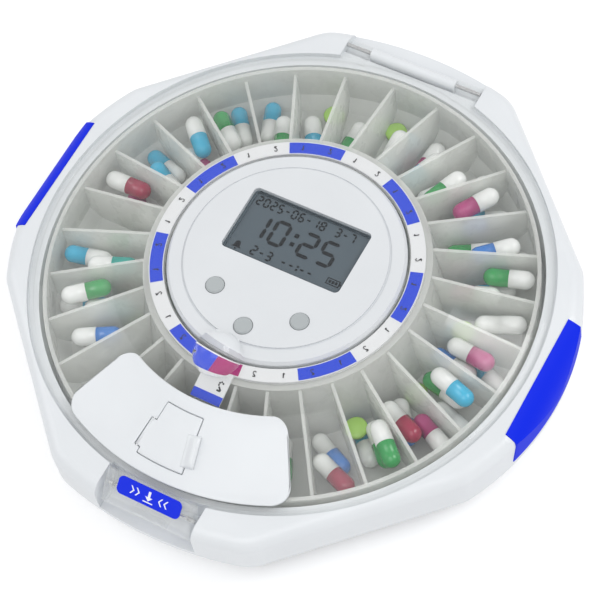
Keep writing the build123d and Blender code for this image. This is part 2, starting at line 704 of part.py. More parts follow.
def half_tooth(radius, teeth, play):
    """Half the angle of an involute tooth at a radius, in radians; play thins it at the pitch circle."""
    pressure = math.radians(PRESSURE_ANGLE)
    pitch = GEAR_MODULE * teeth / 2
    ratio = min(pitch * math.cos(pressure) / radius, 1.0)
    return math.pi / (2 * teeth) + involute(pressure) - involute(math.acos(ratio)) - play / (2 * pitch)


def toothed_face(radii, teeth, play, start, z):
    """Toothed outline from flank points at a few radii, inmost first; a tooth points at start degrees."""
    points = []
    for i in range(teeth):
        middle = math.radians(start) + 2 * math.pi * i / teeth
        rising = [(r, middle - half_tooth(r, teeth, play)) for r in radii]
        falling = [(r, middle + half_tooth(r, teeth, play)) for r in reversed(radii)]
        points += rising + falling
    outline = Polyline(*[(r * math.cos(a), r * math.sin(a), z) for r, a in points], close=True)
    return make_face(outline)


def tray_gear():
    """Internal gear ring inside the tray's sleeve; a tooth space faces the pinion at +Y."""
    radii = [TRAY_PITCH_RADIUS - 0.75 * GEAR_MODULE, TRAY_PITCH_RADIUS + 1.25 * GEAR_MODULE]
    spaces = toothed_face(radii, TRAY_TEETH, -GEAR_BACKLASH, 90.0, GEAR_BOTTOM_Z)
    return rod(GEAR_RIM_RADIUS, GEAR_BOTTOM_Z, GEAR_TOP_Z) - extrude(spaces, amount=GEAR_FACE)


def make_drive_pinion():
    """Pinion on its shaft, with a tooth pointing at +Y."""
    radii = [PINION_PITCH_RADIUS - 1.25 * GEAR_MODULE, PINION_PITCH_RADIUS, PINION_TIP_RADIUS]
    face = toothed_face(radii, PINION_TEETH, GEAR_BACKLASH, 90.0, GEAR_BOTTOM_Z + PINION_END_GAP)
    pinion = Pos(0, PINION_Y, 0) * extrude(face, amount=GEAR_FACE - 2 * PINION_END_GAP)
    shaft_low = GEAR_BOTTOM_Z - PINION_SHAFT_DEPTH
    return pinion + rod(PINION_SHAFT_RADIUS, shaft_low, GEAR_TOP_Z + PINION_SHAFT_RISE, 0, PINION_Y)


def divider():
    """One upright wall between two compartments, following the tray's section."""
    sink = TRAY_WALL / 2
    foot_r = INNER_WALL_FOOT_RADIUS - sink
    top_r = INNER_WALL_TOP_RADIUS - sink
    outer_r = TRAY_RADIUS - sink
    floor_z = TRAY_FLOOR_Z - sink
    bevel = TRAY_BEVEL - sink * BEVEL_SHRINK
    y = DIVIDER_THICKNESS / 2
    outline = Polyline(
        (top_r, y, DIVIDER_INNER_TOP_Z),
        (foot_r, y, floor_z),
        (outer_r - bevel, y, floor_z),
        (outer_r, y, floor_z + bevel),
        (outer_r, y, DIVIDER_OUTER_TOP_Z),
        close=True,
    )
    return extrude(make_face(outline), amount=DIVIDER_THICKNESS, dir=(0, -1, 0))


def make_pill_tray():
    """Round tray: floor, two walls, sleeve with gear teeth and one divider per dose."""
    web_z = RING_BOTTOM_Z - TRAY_WALL
    sleeve_bore = GEAR_RIM_RADIUS - SLEEVE_WALL
    inner_side = TRAY_RADIUS - TRAY_WALL
    inner_bevel = TRAY_BEVEL - TRAY_WALL * BEVEL_SHRINK
    tray = turned(
        [
            (LID_HOLE_RADIUS, RING_BOTTOM_Z),
            (LID_HOLE_RADIUS, web_z),
            (sleeve_bore, web_z),
            (sleeve_bore, GEAR_TOP_Z),
            (GEAR_RIM_RADIUS, GEAR_TOP_Z),
            (GEAR_RIM_RADIUS, web_z),
            (INNER_WALL_TOP_RADIUS - TRAY_WALL, web_z),
            (INNER_WALL_FOOT_RADIUS - TRAY_WALL, TRAY_BOTTOM_Z),
            (TRAY_RADIUS - TRAY_BEVEL, TRAY_BOTTOM_Z),
            (TRAY_RADIUS, TRAY_BOTTOM_Z + TRAY_BEVEL),
            (TRAY_RADIUS, TRAY_RIM_Z),
            (inner_side, TRAY_RIM_Z),
            (inner_side, TRAY_FLOOR_Z + inner_bevel),
            (inner_side - inner_bevel, TRAY_FLOOR_Z),
            (INNER_WALL_FOOT_RADIUS, TRAY_FLOOR_Z),
            (INNER_WALL_TOP_RADIUS, RING_BOTTOM_Z),
        ]
    )
    first = START_ANGLE + SECTOR / 2
    wall = divider()
    tray += [Rot(0, 0, first + SECTOR * i) * wall for i in range(COMPARTMENTS)]
    return tray + tray_gear()


def make_dose_ring():
    """Printed ring on the tray's sleeve, with a tab that leans over the first compartments."""
    ring = rod(RING_OUTER_RADIUS, RING_BOTTOM_Z, RING_TOP_Z)
    ring -= rod(RING_INNER_RADIUS, RING_BOTTOM_Z, RING_TOP_Z)
    root = RING_OUTER_RADIUS - TAB_THICKNESS
    bend = INNER_WALL_TOP_RADIUS + RUNNING_GAP
    end_z = RING_BOTTOM_Z - DIVIDER_SLOPE * (TAB_END_RADIUS - bend)
    profile = [
        (-root, RING_BOTTOM_Z),
        (-bend, RING_BOTTOM_Z),
        (-TAB_END_RADIUS, end_z),
        (-TAB_END_RADIUS, end_z + TAB_THICKNESS),
        (-bend, RING_BOTTOM_Z + TAB_THICKNESS),
        (-root - RING_THICKNESS, RING_TOP_Z),
        (-root, RING_TOP_Z),
    ]
    return ring + across(profile, TAB_LEFT, TAB_RIGHT)


# ---------------------------------------------------------------- hub: cover, display, electronics
def make_hub_cover():
    """Top of the hub with a groove, a display opening and three button holes."""
    ring_z = HUB_TOP_Z - HUB_RING_DROP
    groove_z = HUB_TOP_Z - HUB_GROOVE_DEPTH
    groove_r = HUB_DISC_RADIUS + HUB_GROOVE_WIDTH
    skirt_out = TOWER_BORE - HUB_FIT
    skirt_in = skirt_out - HUB_SKIRT_WALL
    cover = turned(
        [
            (0, HUB_UNDER_Z),
            (skirt_in, HUB_UNDER_Z),
            (skirt_in, BOARD_TOP_Z + 1),
            (skirt_out, BOARD_TOP_Z + 1),
            (skirt_out, TOWER_TOP_Z),
            (HUB_RADIUS, TOWER_TOP_Z),
            (HUB_RADIUS, ring_z - HUB_EDGE_HEIGHT),
            (HUB_RADIUS - HUB_EDGE_WIDTH, ring_z),
            (groove_r, ring_z),
            (groove_r, groove_z),
            (HUB_DISC_RADIUS, groove_z),
            (HUB_DISC_RADIUS, HUB_TOP_Z),
            (0, HUB_TOP_Z),
        ]
    )
    cover -= window_block(0.0, HUB_TOP_Z)
    for x, y in BUTTON_PLACES.values():
        cover -= rod(BUTTON_RADIUS + BUTTON_GAP, HUB_UNDER_Z, HUB_TOP_Z, x, y)
    return cover


def window_block(gap, top):
    """Block of the display window's outline, from the hub cover's underside up."""
    length = WINDOW_LENGTH - 2 * gap
    width = WINDOW_WIDTH - 2 * gap
    face = Pos(0, WINDOW_Y, HUB_UNDER_Z) * RectangleRounded(length, width, WINDOW_CORNER - gap)
    return extrude(face, amount=top - HUB_UNDER_Z)


def make_display_window():
    """Clear pane in the hub cover."""
    return window_block(HUB_FIT, HUB_UNDER_Z + WINDOW_THICKNESS)


def make_lcd_panel():
    """Glass cell of the display."""
    length = WINDOW_LENGTH + 2 * LCD_BORDER
    width = WINDOW_WIDTH + 2 * LCD_BORDER
    return Pos(0, WINDOW_Y, LCD_TOP_Z - LCD_THICKNESS / 2) * Box(length, width, LCD_THICKNESS)


def make_lcd_frame():
    """Frame that holds the display against the hub cover."""
    length = WINDOW_LENGTH + 2 * FRAME_BORDER
    width = WINDOW_WIDTH + 2 * FRAME_BORDER
    height = FRAME_TOP_Z - BOARD_TOP_Z
    frame = Pos(0, WINDOW_Y, BOARD_TOP_Z + height / 2) * Box(length, width, height)
    bed_length = WINDOW_LENGTH + 2 * LCD_BORDER
    bed_width = WINDOW_WIDTH + 2 * LCD_BORDER
    bed_height = LCD_TOP_Z - BOARD_TOP_Z
    frame -= Pos(0, WINDOW_Y, BOARD_TOP_Z + bed_height / 2) * Box(bed_length, bed_width, bed_height)
    opening_length = WINDOW_LENGTH - 2 * LCD_OVERLAP
    opening_width = WINDOW_WIDTH - 2 * LCD_OVERLAP
    return frame - Pos(0, WINDOW_Y, FRAME_TOP_Z) * Box(opening_length, opening_width, 2 * LCD_THICKNESS)


def make_circuit_board():
    """Round board with screw holes."""
    board = rod(BOARD_RADIUS, BOARD_Z, BOARD_TOP_Z)
    for angle in BOARD_POST_ANGLES:
        x, y, _ = polar(BOARD_POST_CIRCLE, angle)
        board -= small_rod(SCREW_RADIUS, BOARD_Z, BOARD_TOP_Z, x, y)
    return board


def cap_bottom_z():
    """Underside of a button cap's flange."""
    return HUB_UNDER_Z - BUTTON_GAP - BUTTON_FLANGE


def make_button(place):
    """Button cap with a flange that stops under the hub cover."""
    x, y = BUTTON_PLACES[place]
    bottom = cap_bottom_z()
    cap = rod(BUTTON_RADIUS, bottom, HUB_TOP_Z + BUTTON_RISE, x, y)
    cap = chamfer(cap.faces().sort_by(Axis.Z)[-1].edges(), BUTTON_EDGE)
    return cap + small_rod(BUTTON_RADIUS + BUTTON_FLANGE, bottom, bottom + BUTTON_FLANGE, x, y)


def make_plunger(place):
    """Plunger of one tact switch, standing under its cap."""
    x, y = BUTTON_PLACES[place]
    low = BOARD_TOP_Z + PLUNGER_FLOOR + BUTTON_TRAVEL + BUTTON_GAP
    return small_rod(PLUNGER_RADIUS, low, cap_bottom_z(), x, y)


def make_tact_switches():
    """Bodies of the three switches on the board."""
    bodies = []
    for x, y in BUTTON_PLACES.values():
        top = BOARD_TOP_Z + SWITCH_HEIGHT
        body = Pos(x, y, (BOARD_TOP_Z + top) / 2) * Box(SWITCH_SIDE, SWITCH_SIDE, SWITCH_HEIGHT)
        bodies.append(body - small_rod(PLUNGER_RADIUS + HUB_FIT, BOARD_TOP_Z + PLUNGER_FLOOR, top, x, y))
    return bodies


def make_buzzer():
    """Alarm sounder on the board's underside."""
    low = BOARD_Z - BUZZER_HEIGHT
    sounder = rod(BUZZER_RADIUS, low, BOARD_Z, *BUZZER_PLACE)
    return sounder - small_rod(BUZZER_HOLE_RADIUS, low, low + BUZZER_HOLE_DEPTH, *BUZZER_PLACE)


def make_gearbox_case():
    """Gearbox under the pinion, with a bearing hole for its shaft."""
    half = GEARBOX_WIDTH / 2
    rear_y = math.sqrt((TOWER_BORE - BODY_GAP) ** 2 - half**2)
    top = GEAR_BOTTOM_Z - BODY_GAP
    case = box(-half, half, PINION_Y - GEARBOX_FRONT, rear_y, HUB_FLOOR_Z, top)
    case = chamfer(case.edges().filter_by(Axis.Z), GEARBOX_CORNER)
    bore_low = GEAR_BOTTOM_Z - PINION_SHAFT_DEPTH - BODY_GAP
    return case - rod(PINION_SHAFT_RADIUS + RUNNING_GAP, bore_low, top, 0, PINION_Y)


def make_motor():
    """Small motor with flattened sides, lying in front of the gearbox."""
    rear_y = PINION_Y - GEARBOX_FRONT
    front_y = rear_y - MOTOR_LENGTH
    top = HUB_FLOOR_Z + MOTOR_HEIGHT
    can = rod_y(MOTOR_RADIUS, front_y, rear_y, 0, (HUB_FLOOR_Z + top) / 2)
    return can & box(-MOTOR_RADIUS, MOTOR_RADIUS, front_y, rear_y, HUB_FLOOR_Z, top)


# ---------------------------------------------------------------- lid and what it carries
def lid_body():
    """Turned form of the lid with its hub hole, slope and rim."""
    return turned(
        [
            (LID_HOLE_RADIUS, LID_UNDER_Z),
            (LID_HOLE_RADIUS, LID_TOP_Z),
            (LID_CREASE_RADIUS, LID_TOP_Z),
            (LID_CONE_RADIUS, LID_CONE_END_Z),
            (LID_CONE_RADIUS + LID_BORDER_WIDTH, LID_CONE_END_Z - LID_BORDER_DROP),
            (LID_RADIUS - LID_EDGE, LID_RIM_Z),
            (LID_RADIUS, LID_RIM_Z - LID_EDGE),
            (LID_RADIUS, LID_FOOT_Z),
            (LID_RADIUS - LID_THICKNESS, LID_FOOT_Z),
            (LID_RADIUS - LID_THICKNESS, LID_FOOT_Z + LID_THICKNESS),
            (LID_CONE_RADIUS, LID_CONE_END_Z - LID_THICKNESS),
            (LID_CREASE_RADIUS, LID_UNDER_Z),
        ]
    )


def hinge_arms():
    """Two knuckles on arms at the rear of the lid."""
    arms = []
    for side in (-1, 1):
        x0, x1 = sorted((side * (HINGE_MIDDLE + HINGE_GAP), side * (HINGE_END - HINGE_GAP)))
        knuckle = rod_x(HINGE_KNUCKLE_RADIUS, x0, x1, HINGE_Y, HINGE_Z)
        arm_low = LID_FOOT_Z + HINGE_ARM_INSET
        arm = box(x0, x1, LID_CONE_RADIUS, HINGE_Y, arm_low, LID_RIM_Z - HINGE_ARM_INSET)
        arms.append(knuckle + arm)
    return arms


def latch_ears():
    """Two ears on the front rim that carry the latch pin."""
    root_y = -LID_CONE_RADIUS - LID_BORDER_WIDTH / 2
    under_z = LID_CONE_END_Z - LID_THICKNESS - LID_BORDER_DROP
    front = about_latch_pin(EAR_FRONT_CORNERS)
    step_y = LATCH_PIVOT_Y + EAR_ROOT
    profile = [(root_y, under_z), (step_y - EAR_THICKNESS, under_z)] + front
    profile += [(step_y, under_z - EAR_HEIGHT - BODY_GAP), (root_y, under_z - EAR_HEIGHT)]
    outer = LATCH_HALF_WIDTH - LATCH_WALL - EAR_GAP
    inner = outer - EAR_THICKNESS
    return [across(profile, inner, outer), across(profile, -outer, -inner)]


def panel_plan():
    """Plan of the white panel on the lid."""
    start = -90 - PANEL_HALF_ANGLE
    end = start + 2 * PANEL_HALF_ANGLE
    inner = LID_CREASE_RADIUS + PANEL_INSET
    return sector_block(inner, PANEL_OUTER_RADIUS, start, end, PANEL_CORNER, 0, ABOVE_LID_Z)


def panel_form():
    """Panel without its flap opening."""
    inner = LID_CREASE_RADIUS
    border = LID_CONE_RADIUS + LID_BORDER_WIDTH
    end_z = LID_CONE_END_Z
    layer = turned(
        [
            (inner, cone_z(inner) - PANEL_RECESS),
            (LID_CONE_RADIUS, end_z - PANEL_RECESS),
            (border, end_z - PANEL_RECESS - LID_BORDER_DROP),
            (border, end_z + PANEL_RISE - LID_BORDER_DROP),
            (LID_CONE_RADIUS, end_z + PANEL_RISE),
            (inner, cone_z(inner) + PANEL_RISE),
        ]
    )
    return layer & panel_plan()


def beside_hinge(left, right, inner, outer, z0, z1):
    """Block beside the flap's hinge line; left and right are measured from the line."""
    block = box(inner, outer, -left, right, z0, z1)
    return Rot(0, 0, FLAP_HINGE_ANGLE) * block


def flap_hole():
    """Space cut in the panel for the flap, its barrel and its finger grip."""
    low, high = 0.0, ABOVE_LID_Z
    inner = FLAP_INNER_RADIUS - FLAP_GAP
    outer = FLAP_OUTER_RADIUS + FLAP_SWING_GAP
    end = FLAP_END_ANGLE + math.degrees(FLAP_GAP / FLAP_MIDDLE_RADIUS)
    hole = sector_block(inner, outer, FLAP_HINGE_ANGLE, end, 0, low, high)
    left = FLAP_BARREL_RADIUS + FLAP_GAP
    inner -= FLAP_SWING_GAP
    outer += FLAP_GAP
    return hole + beside_hinge(left, FLAP_BARREL_RADIUS, inner, outer, low, high)


def flap_pin_rod(radius, start, end):
    """Rod along the flap's hinge line."""
    line_angle = math.degrees(math.atan(LID_SLOPE))
    middle = (start + end) / 2
    length = (end - start) / math.cos(math.radians(line_angle))
    place = Pos(middle, 0, cone_z(middle) + FLAP_AXIS_RISE)
    return Rot(0, 0, FLAP_HINGE_ANGLE) * place * Rot(0, 90 + line_angle, 0) * Cylinder(radius, length)


def make_lid():
    """Clear lid with hinge arms, latch ears, a bed for the panel and the dispensing hole."""
    lid = lid_body() + hinge_arms() + latch_ears()
    lid -= panel_form()
    hole = sector_block(
        FLAP_INNER_RADIUS + FLAP_BORDER,
        FLAP_OUTER_RADIUS - FLAP_BORDER,
        FLAP_HINGE_ANGLE + FLAP_HINGE_BORDER,
        FLAP_END_ANGLE - FLAP_FREE_BORDER,
        FLAP_HOLE_CORNER,
        0,
        LID_TOP_Z,
    )
    lid -= hole
    lid -= rod_x(HINGE_PIN_RADIUS + RUNNING_GAP, -HINGE_END, HINGE_END, HINGE_Y, HINGE_Z)
    return lid - latch_pin_rod(LATCH_PIN_RADIUS, LATCH_HALF_WIDTH)


def make_lid_panel():
    """White panel let into the lid's slope."""
    return panel_form() - flap_hole() - make_flap_pin()


def make_flap_pin():
    """Pin of the dispensing flap."""
    start = FLAP_INNER_RADIUS - FLAP_PIN_OVERHANG
    return flap_pin_rod(FLAP_PIN_RADIUS, start, FLAP_OUTER_RADIUS + FLAP_PIN_OVERHANG)


def make_dispensing_flap():
    """Flap over the dispensing hole, with a hinge barrel and a raised finger grip."""
    inner, outer = FLAP_INNER_RADIUS, FLAP_OUTER_RADIUS
    plan = sector_block(inner, outer, FLAP_HINGE_ANGLE, FLAP_END_ANGLE, 0, 0, ABOVE_LID_Z)
    plan += beside_hinge(FLAP_LEFT, FLAP_BARREL_RADIUS, inner, outer, 0, ABOVE_LID_Z)
    flap = cone_layer(FLAP_BOTTOM, FLAP_TOP, LID_CREASE_RADIUS, LID_CONE_RADIUS) & plan
    barrel_end = FLAP_BARREL_START + FLAP_BARREL_LENGTH
    flap += flap_pin_rod(FLAP_BARREL_RADIUS, FLAP_BARREL_START, barrel_end)
    flap += finger_grip()
    start = inner - FLAP_PIN_OVERHANG
    return flap - flap_pin_rod(FLAP_PIN_RADIUS + RUNNING_GAP, start, outer + FLAP_PIN_OVERHANG)


def finger_grip():
    """Curved ridge along the flap's free edge, overhanging the panel a little."""
    slope = math.degrees(math.atan(LID_SLOPE))
    half = TAB_GRIP_WIDTH / 2
    arc = ThreePointArc((0, half, 0), (0, 0, TAB_GRIP_HEIGHT), (0, -half, 0))
    section = make_face(Curve() + [arc, Line((0, -half, 0), (0, half, 0))])
    ridge = extrude(section, amount=TAB_GRIP_LENGTH, dir=(1, 0, 0))
    start = FLAP_BARREL_START
    overhang = math.degrees((TAB_GRIP_OVERHANG - half) / FLAP_MIDDLE_RADIUS)
    place = Pos(start, 0, cone_z(start) + FLAP_TOP - RUNNING_GAP) * Rot(0, slope, 0)
    return Rot(0, 0, FLAP_END_ANGLE + overhang) * place * ridge


def make_magnifier_lens():
    """Domed lens over the current dose on the ring."""
    dome = Pos(*LENS_PLACE, LID_TOP_Z) * Sphere(LENS_RADIUS)
    return dome & rod(LENS_RADIUS + 1, LID_TOP_Z, ABOVE_LID_Z, *LENS_PLACE)


def make_hinge_pin():
    """Steel pin through both knuckles and the middle barrel."""
    end = HINGE_END - HINGE_GAP
    return rod_x(HINGE_PIN_RADIUS, -end, end, HINGE_Y, HINGE_Z)


# ---------------------------------------------------------------- press latch
def about_latch_pin(corners):
    """(y, z) points from offsets measured from the latch pin."""
    return [(LATCH_PIVOT_Y + y, LATCH_PIVOT_Z + z) for y, z in corners]


def latch_pin_rod(radius, half_length):
    """Rod on the latch's pivot."""
    return rod_x(radius, -half_length, half_length, LATCH_PIVOT_Y, LATCH_PIVOT_Z)


def make_press_latch():
    """Clear rocking lever: sloping press plate, cheeks, lower lip and the hook under the catch."""
    plate = about_latch_pin(LATCH_OUTER_CORNERS + LATCH_INNER_CORNERS)
    latch = across(plate, -LATCH_HALF_WIDTH, LATCH_HALF_WIDTH)
    cheek = about_latch_pin(LATCH_OUTER_CORNERS + LATCH_CHEEK_CORNERS)
    inner_x = LATCH_HALF_WIDTH - LATCH_WALL
    latch += across(cheek, inner_x, LATCH_HALF_WIDTH)
    latch += across(cheek, -LATCH_HALF_WIDTH, -inner_x)
    tip_y = -catch_reach() - HOOK_GAP
    nose_z = catch_z() - BODY_GAP
    root, heel, toe = about_latch_pin(HOOK_ROOT_CORNERS)
    hook = [
        root,
        heel,
        (toe[0], nose_z - HOOK_THICKNESS),
        (tip_y, nose_z - HOOK_THICKNESS),
        (tip_y, nose_z),
        (LATCH_PIVOT_Y - HOOK_THROAT, nose_z + HOOK_EASE),
    ]
    latch += across(hook, -HOOK_HALF_WIDTH, HOOK_HALF_WIDTH)
    return latch - latch_pin_rod(LATCH_PIN_RADIUS + RUNNING_GAP, LATCH_HALF_WIDTH)


def make_latch_pin():
    """Pin through the ears and the latch's cheeks."""
    return latch_pin_rod(LATCH_PIN_RADIUS, LATCH_HALF_WIDTH - LATCH_PIN_INSET)


def make_latch_label():
    """Blue label on the latch's press plate."""
    (y0, z0), (y1, z1) = about_latch_pin(LATCH_OUTER_CORNERS[:2])
    tilt = math.degrees(math.atan2(z0 - z1, y0 - y1))
    plate = extrude(RectangleRounded(LABEL_LENGTH, LABEL_WIDTH, LABEL_CORNER), amount=LABEL_THICKNESS)
    return Pos(0, (y0 + y1) / 2, (z0 + z1) / 2) * Rot(tilt, 0, 0) * plate


# ---------------------------------------------------------------- writing
def build_pieces():
    """Every named piece, as one solid or a list of separate solids."""
    pieces = {
        "base_housing": make_base_housing(),
        "left_grip": make_grip(-1),
        "right_grip": make_grip(1),
        "bottom_cover": make_bottom_cover(),
        "battery_door": make_battery_door(),
        "rubber_feet": make_rubber_feet(),
        "base_screws": make_base_screws(),
        "battery_door_screw": make_battery_screw(),
        "batteries": make_batteries(),
        "battery_contacts": make_battery_contacts(),
        "pill_tray": make_pill_tray(),
        "dose_ring": make_dose_ring(),
        "drive_pinion": make_drive_pinion(),
        "gearbox_case": make_gearbox_case(),
        "motor": make_motor(),
        "circuit_board": make_circuit_board(),
        "board_screws": make_board_screws(),
        "tact_switches": make_tact_switches(),
        "buzzer": make_buzzer(),
        "hub_cover": make_hub_cover(),
        "display_window": make_display_window(),
        "lcd_panel": make_lcd_panel(),
        "lcd_frame": make_lcd_frame(),
        "lid": make_lid(),
        "lid_panel": make_lid_panel(),
        "magnifier_lens": make_magnifier_lens(),
        "dispensing_flap": make_dispensing_flap(),
        "flap_pin": make_flap_pin(),
        "hinge_pin": make_hinge_pin(),
        "press_latch": make_press_latch(),
        "latch_label": make_latch_label(),
        "latch_pin": make_latch_pin(),
    }
    for place in BUTTON_PLACES:
        pieces["button_" + place] = make_button(place)
        pieces["plunger_" + place] = make_plunger(place)
    return pieces


def main():
    """Writes one STEP file per named piece."""
    os.makedirs("parts", exist_ok=True)
    for name, shape in build_pieces().items():
        solids = shape if isinstance(shape, list) else [shape]
        bodies = [body for piece in solids for body in piece.solids()]
        whole = bodies[0] if len(bodies) == 1 else Compound(bodies)
        export_step(whole, f"parts/{name}.step")
        print(name, len(bodies), round(sum(body.volume for body in bodies)))


main()
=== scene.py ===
import math

import bmesh
import bpy
from mathutils import Matrix, Vector


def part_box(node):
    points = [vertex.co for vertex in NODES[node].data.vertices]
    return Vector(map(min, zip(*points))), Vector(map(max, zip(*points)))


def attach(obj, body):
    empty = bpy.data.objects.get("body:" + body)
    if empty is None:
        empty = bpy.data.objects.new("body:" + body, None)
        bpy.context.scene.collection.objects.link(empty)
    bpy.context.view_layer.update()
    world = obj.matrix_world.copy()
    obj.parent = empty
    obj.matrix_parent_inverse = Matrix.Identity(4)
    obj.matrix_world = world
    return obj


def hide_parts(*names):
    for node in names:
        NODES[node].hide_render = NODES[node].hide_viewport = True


# Looks of the automatic pill dispenser. Everything is in metres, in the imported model's frame.

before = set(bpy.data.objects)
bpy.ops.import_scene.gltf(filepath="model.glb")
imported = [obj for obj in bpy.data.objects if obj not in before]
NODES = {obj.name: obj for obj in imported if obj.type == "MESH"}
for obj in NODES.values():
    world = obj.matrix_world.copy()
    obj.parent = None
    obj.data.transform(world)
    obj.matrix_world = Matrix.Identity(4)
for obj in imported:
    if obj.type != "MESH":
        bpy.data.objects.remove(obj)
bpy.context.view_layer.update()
MM = 0.001

# ---------------------------------------------------------------- camera: the photograph's viewpoint
CAMERA_AZIMUTH = 39.26
CAMERA_ELEVATION = 59.89
CAMERA_ROLL = 12.06
CAMERA_LENS = 130.5
SENSOR_WIDTH = 36.0
CAMERA_DISTANCE = 0.8027
CAMERA_NEAR_LIMIT = 0.01
PHOTO_SIZE = 600.0
AIM_PIXEL = (286.54, 258.50)
AIM_POINT = Vector((0.0, 0.0, 0.046))

# ---------------------------------------------------------------- sizes shared with the construction
COMPARTMENTS = 29
SECTOR = 360.0 / COMPARTMENTS
START_ANGLE = -87.23
RING_INNER = 46.0 * MM
RING_OUTER = 51.5 * MM
TRAY_FLOOR_Z = 14.5 * MM
LID_CREASE_RADIUS = 65.5 * MM
LID_CONE_RADIUS = 94.5 * MM
LID_TOP_Z = 48.0 * MM
LID_SLOPE = 9.3 / 29.0
LID_BORDER_SLOPE = 0.3 / 2.3
TRAY_RADIUS = 93.5 * MM
INNER_WALL_RADIUS = 54.0 * MM
DIVIDER_INNER_TOP_Z = 44.0 * MM
DIVIDER_OUTER_TOP_Z = 32.5 * MM

# ---------------------------------------------------------------- material detail
# Noise scales are waves per metre: 35 gives patches of about 3 cm, 1400 a skin well under a millimetre.
# CLOUDY and BRUSHED are levels of noise detail; a spread is how far roughness strays from its base value.
TONE_STOPS = (0.3, 0.7)
CLOUDY = 3.0
BRUSHED = 4.0
MOULDED_CLOUDS = 35.0
MOULDED_PATCHES = 180.0
MOULDED_SKIN = 1400.0
MOULDED_SKIN_DEPTH = 0.02 * MM
MOULDED_SKIN_STRENGTH = 0.35
MOULDED_COAT_ROUGHNESS = 0.12
MOULDED_SPREAD = (-0.04, 0.05)
METAL_BRUSHING = 900.0
METAL_PATCHES = 400.0
METAL_DARKER = 0.8
METAL_SPREAD = (-0.05, 0.1)
CLEAR_PATCHES = 60.0
CLEAR_WAVES = 40.0
CLEAR_WAVE_DEPTH = 0.1 * MM
CLEAR_WAVE_STRENGTH = 0.3
CLEAR_SPREAD = 0.05
CLEAR_HAZE_BLEND = 0.12
HAZE_COLOR = (0.97, 0.985, 0.98, 1.0)
HAZE_ROUGHNESS = 0.35
GLOSS_POWER = 5.0
LENS_COLOR = (0.99, 0.995, 0.995, 1.0)
LENS_SHADOW_COLOR = (0.97, 0.98, 0.97, 1.0)
LENS_ROUGHNESS = (0.0, 0.02)
PLAIN_WHITE = (1.0, 1.0, 1.0, 1.0)
MILKY_DARKER = 0.985
MILKY_CLOUDS = 22.0
MILKY_PATCHES = 150.0
MILKY_WAVES = 70.0
MILKY_WAVE_DEPTH = 0.06 * MM
MILKY_WAVE_STRENGTH = 0.3
MILKY_ROUGHNESS = (0.22, 0.34)
MILKY_GLOW = 0.25
MILKY_THROUGH_COLOR = (0.98, 0.99, 0.975, 1.0)


# ---------------------------------------------------------------- material helpers
def new_material(name):
    """Material with a Principled shader; returns it with its node tree and shader."""
    material = bpy.data.materials.new(name)
    material.use_nodes = True
    tree = material.node_tree
    return material, tree, tree.nodes["Principled BSDF"]


def add_node(tree, kind, **inputs):
    """Node with some of its inputs set."""
    node = tree.nodes.new(kind)
    for key, value in inputs.items():
        node.inputs[key.replace("_", " ")].default_value = value
    return node


def object_coordinates(tree):
    """Coordinates fixed to the object."""
    return tree.nodes.new("ShaderNodeTexCoord").outputs["Object"]


def noise(tree, scale, detail=2.0, roughness=0.5):
    """Noise in object space."""
    node = add_node(tree, "ShaderNodeTexNoise", Scale=scale, Detail=detail, Roughness=roughness)
    tree.links.new(object_coordinates(tree), node.inputs["Vector"])
    return node.outputs["Fac"]


def ramp(tree, factor, stops):
    """Colour ramp from (position, colour) stops."""
    node = tree.nodes.new("ShaderNodeValToRGB")
    elements = node.color_ramp.elements
    for element, (position, color) in zip(elements, stops):
        element.position = position
        element.color = (*color, 1.0)
    tree.links.new(factor, node.inputs["Fac"])
    return node.outputs["Color"]


def bump(tree, shader, factor, distance, strength=0.5):
    """Bump from a factor."""
    node = add_node(tree, "ShaderNodeBump", Strength=strength, Distance=distance)
    tree.links.new(factor, node.inputs["Height"])
    tree.links.new(node.outputs["Normal"], shader.inputs["Normal"])


def between(tree, factor, low, high):
    """Factor mapped to a range."""
    node = add_node(tree, "ShaderNodeMapRange", To_Min=low, To_Max=high)
    tree.links.new(factor, node.inputs["Value"])
    return node.outputs["Result"]


def two_tones(tree, scale, detail, darker, color):
    """Cloudy blend of two close tones."""
    return ramp(tree, noise(tree, scale, detail), zip(TONE_STOPS, (darker, color)))


def moulded(
    name,
    color,
    rough,
    grain=MOULDED_SKIN,
    depth=MOULDED_SKIN_DEPTH,
    variation=0.03,
    coat=0.0,
    specular=0.5,
):
    """Opaque moulded plastic with a fine skin and slight tone variation."""
    material, tree, shader = new_material(name)
    darker = tuple(max(channel - variation, 0.0) for channel in color)
    tone = two_tones(tree, MOULDED_CLOUDS, CLOUDY, darker, color)
    smoother, rougher = (rough + step for step in MOULDED_SPREAD)
    roughness = between(tree, noise(tree, MOULDED_PATCHES, CLOUDY), smoother, rougher)
    tree.links.new(tone, shader.inputs["Base Color"])
    tree.links.new(roughness, shader.inputs["Roughness"])
    shader.inputs["Coat Weight"].default_value = coat
    shader.inputs["Coat Roughness"].default_value = MOULDED_COAT_ROUGHNESS
    shader.inputs["Specular IOR Level"].default_value = specular
    bump(tree, shader, noise(tree, grain), depth, MOULDED_SKIN_STRENGTH)
    return material


def metal(name, color, rough):
    """Plain metal with fine brushing."""
    material, tree, shader = new_material(name)
    shader.inputs["Metallic"].default_value = 1.0
    darker = tuple(channel * METAL_DARKER for channel in color)
    tone = two_tones(tree, METAL_BRUSHING, BRUSHED, darker, color)
    smoother, rougher = (rough + step for step in METAL_SPREAD)
    roughness = between(tree, noise(tree, METAL_PATCHES), smoother, rougher)
    tree.links.new(tone, shader.inputs["Base Color"])
    tree.links.new(roughness, shader.inputs["Roughness"])
    return material


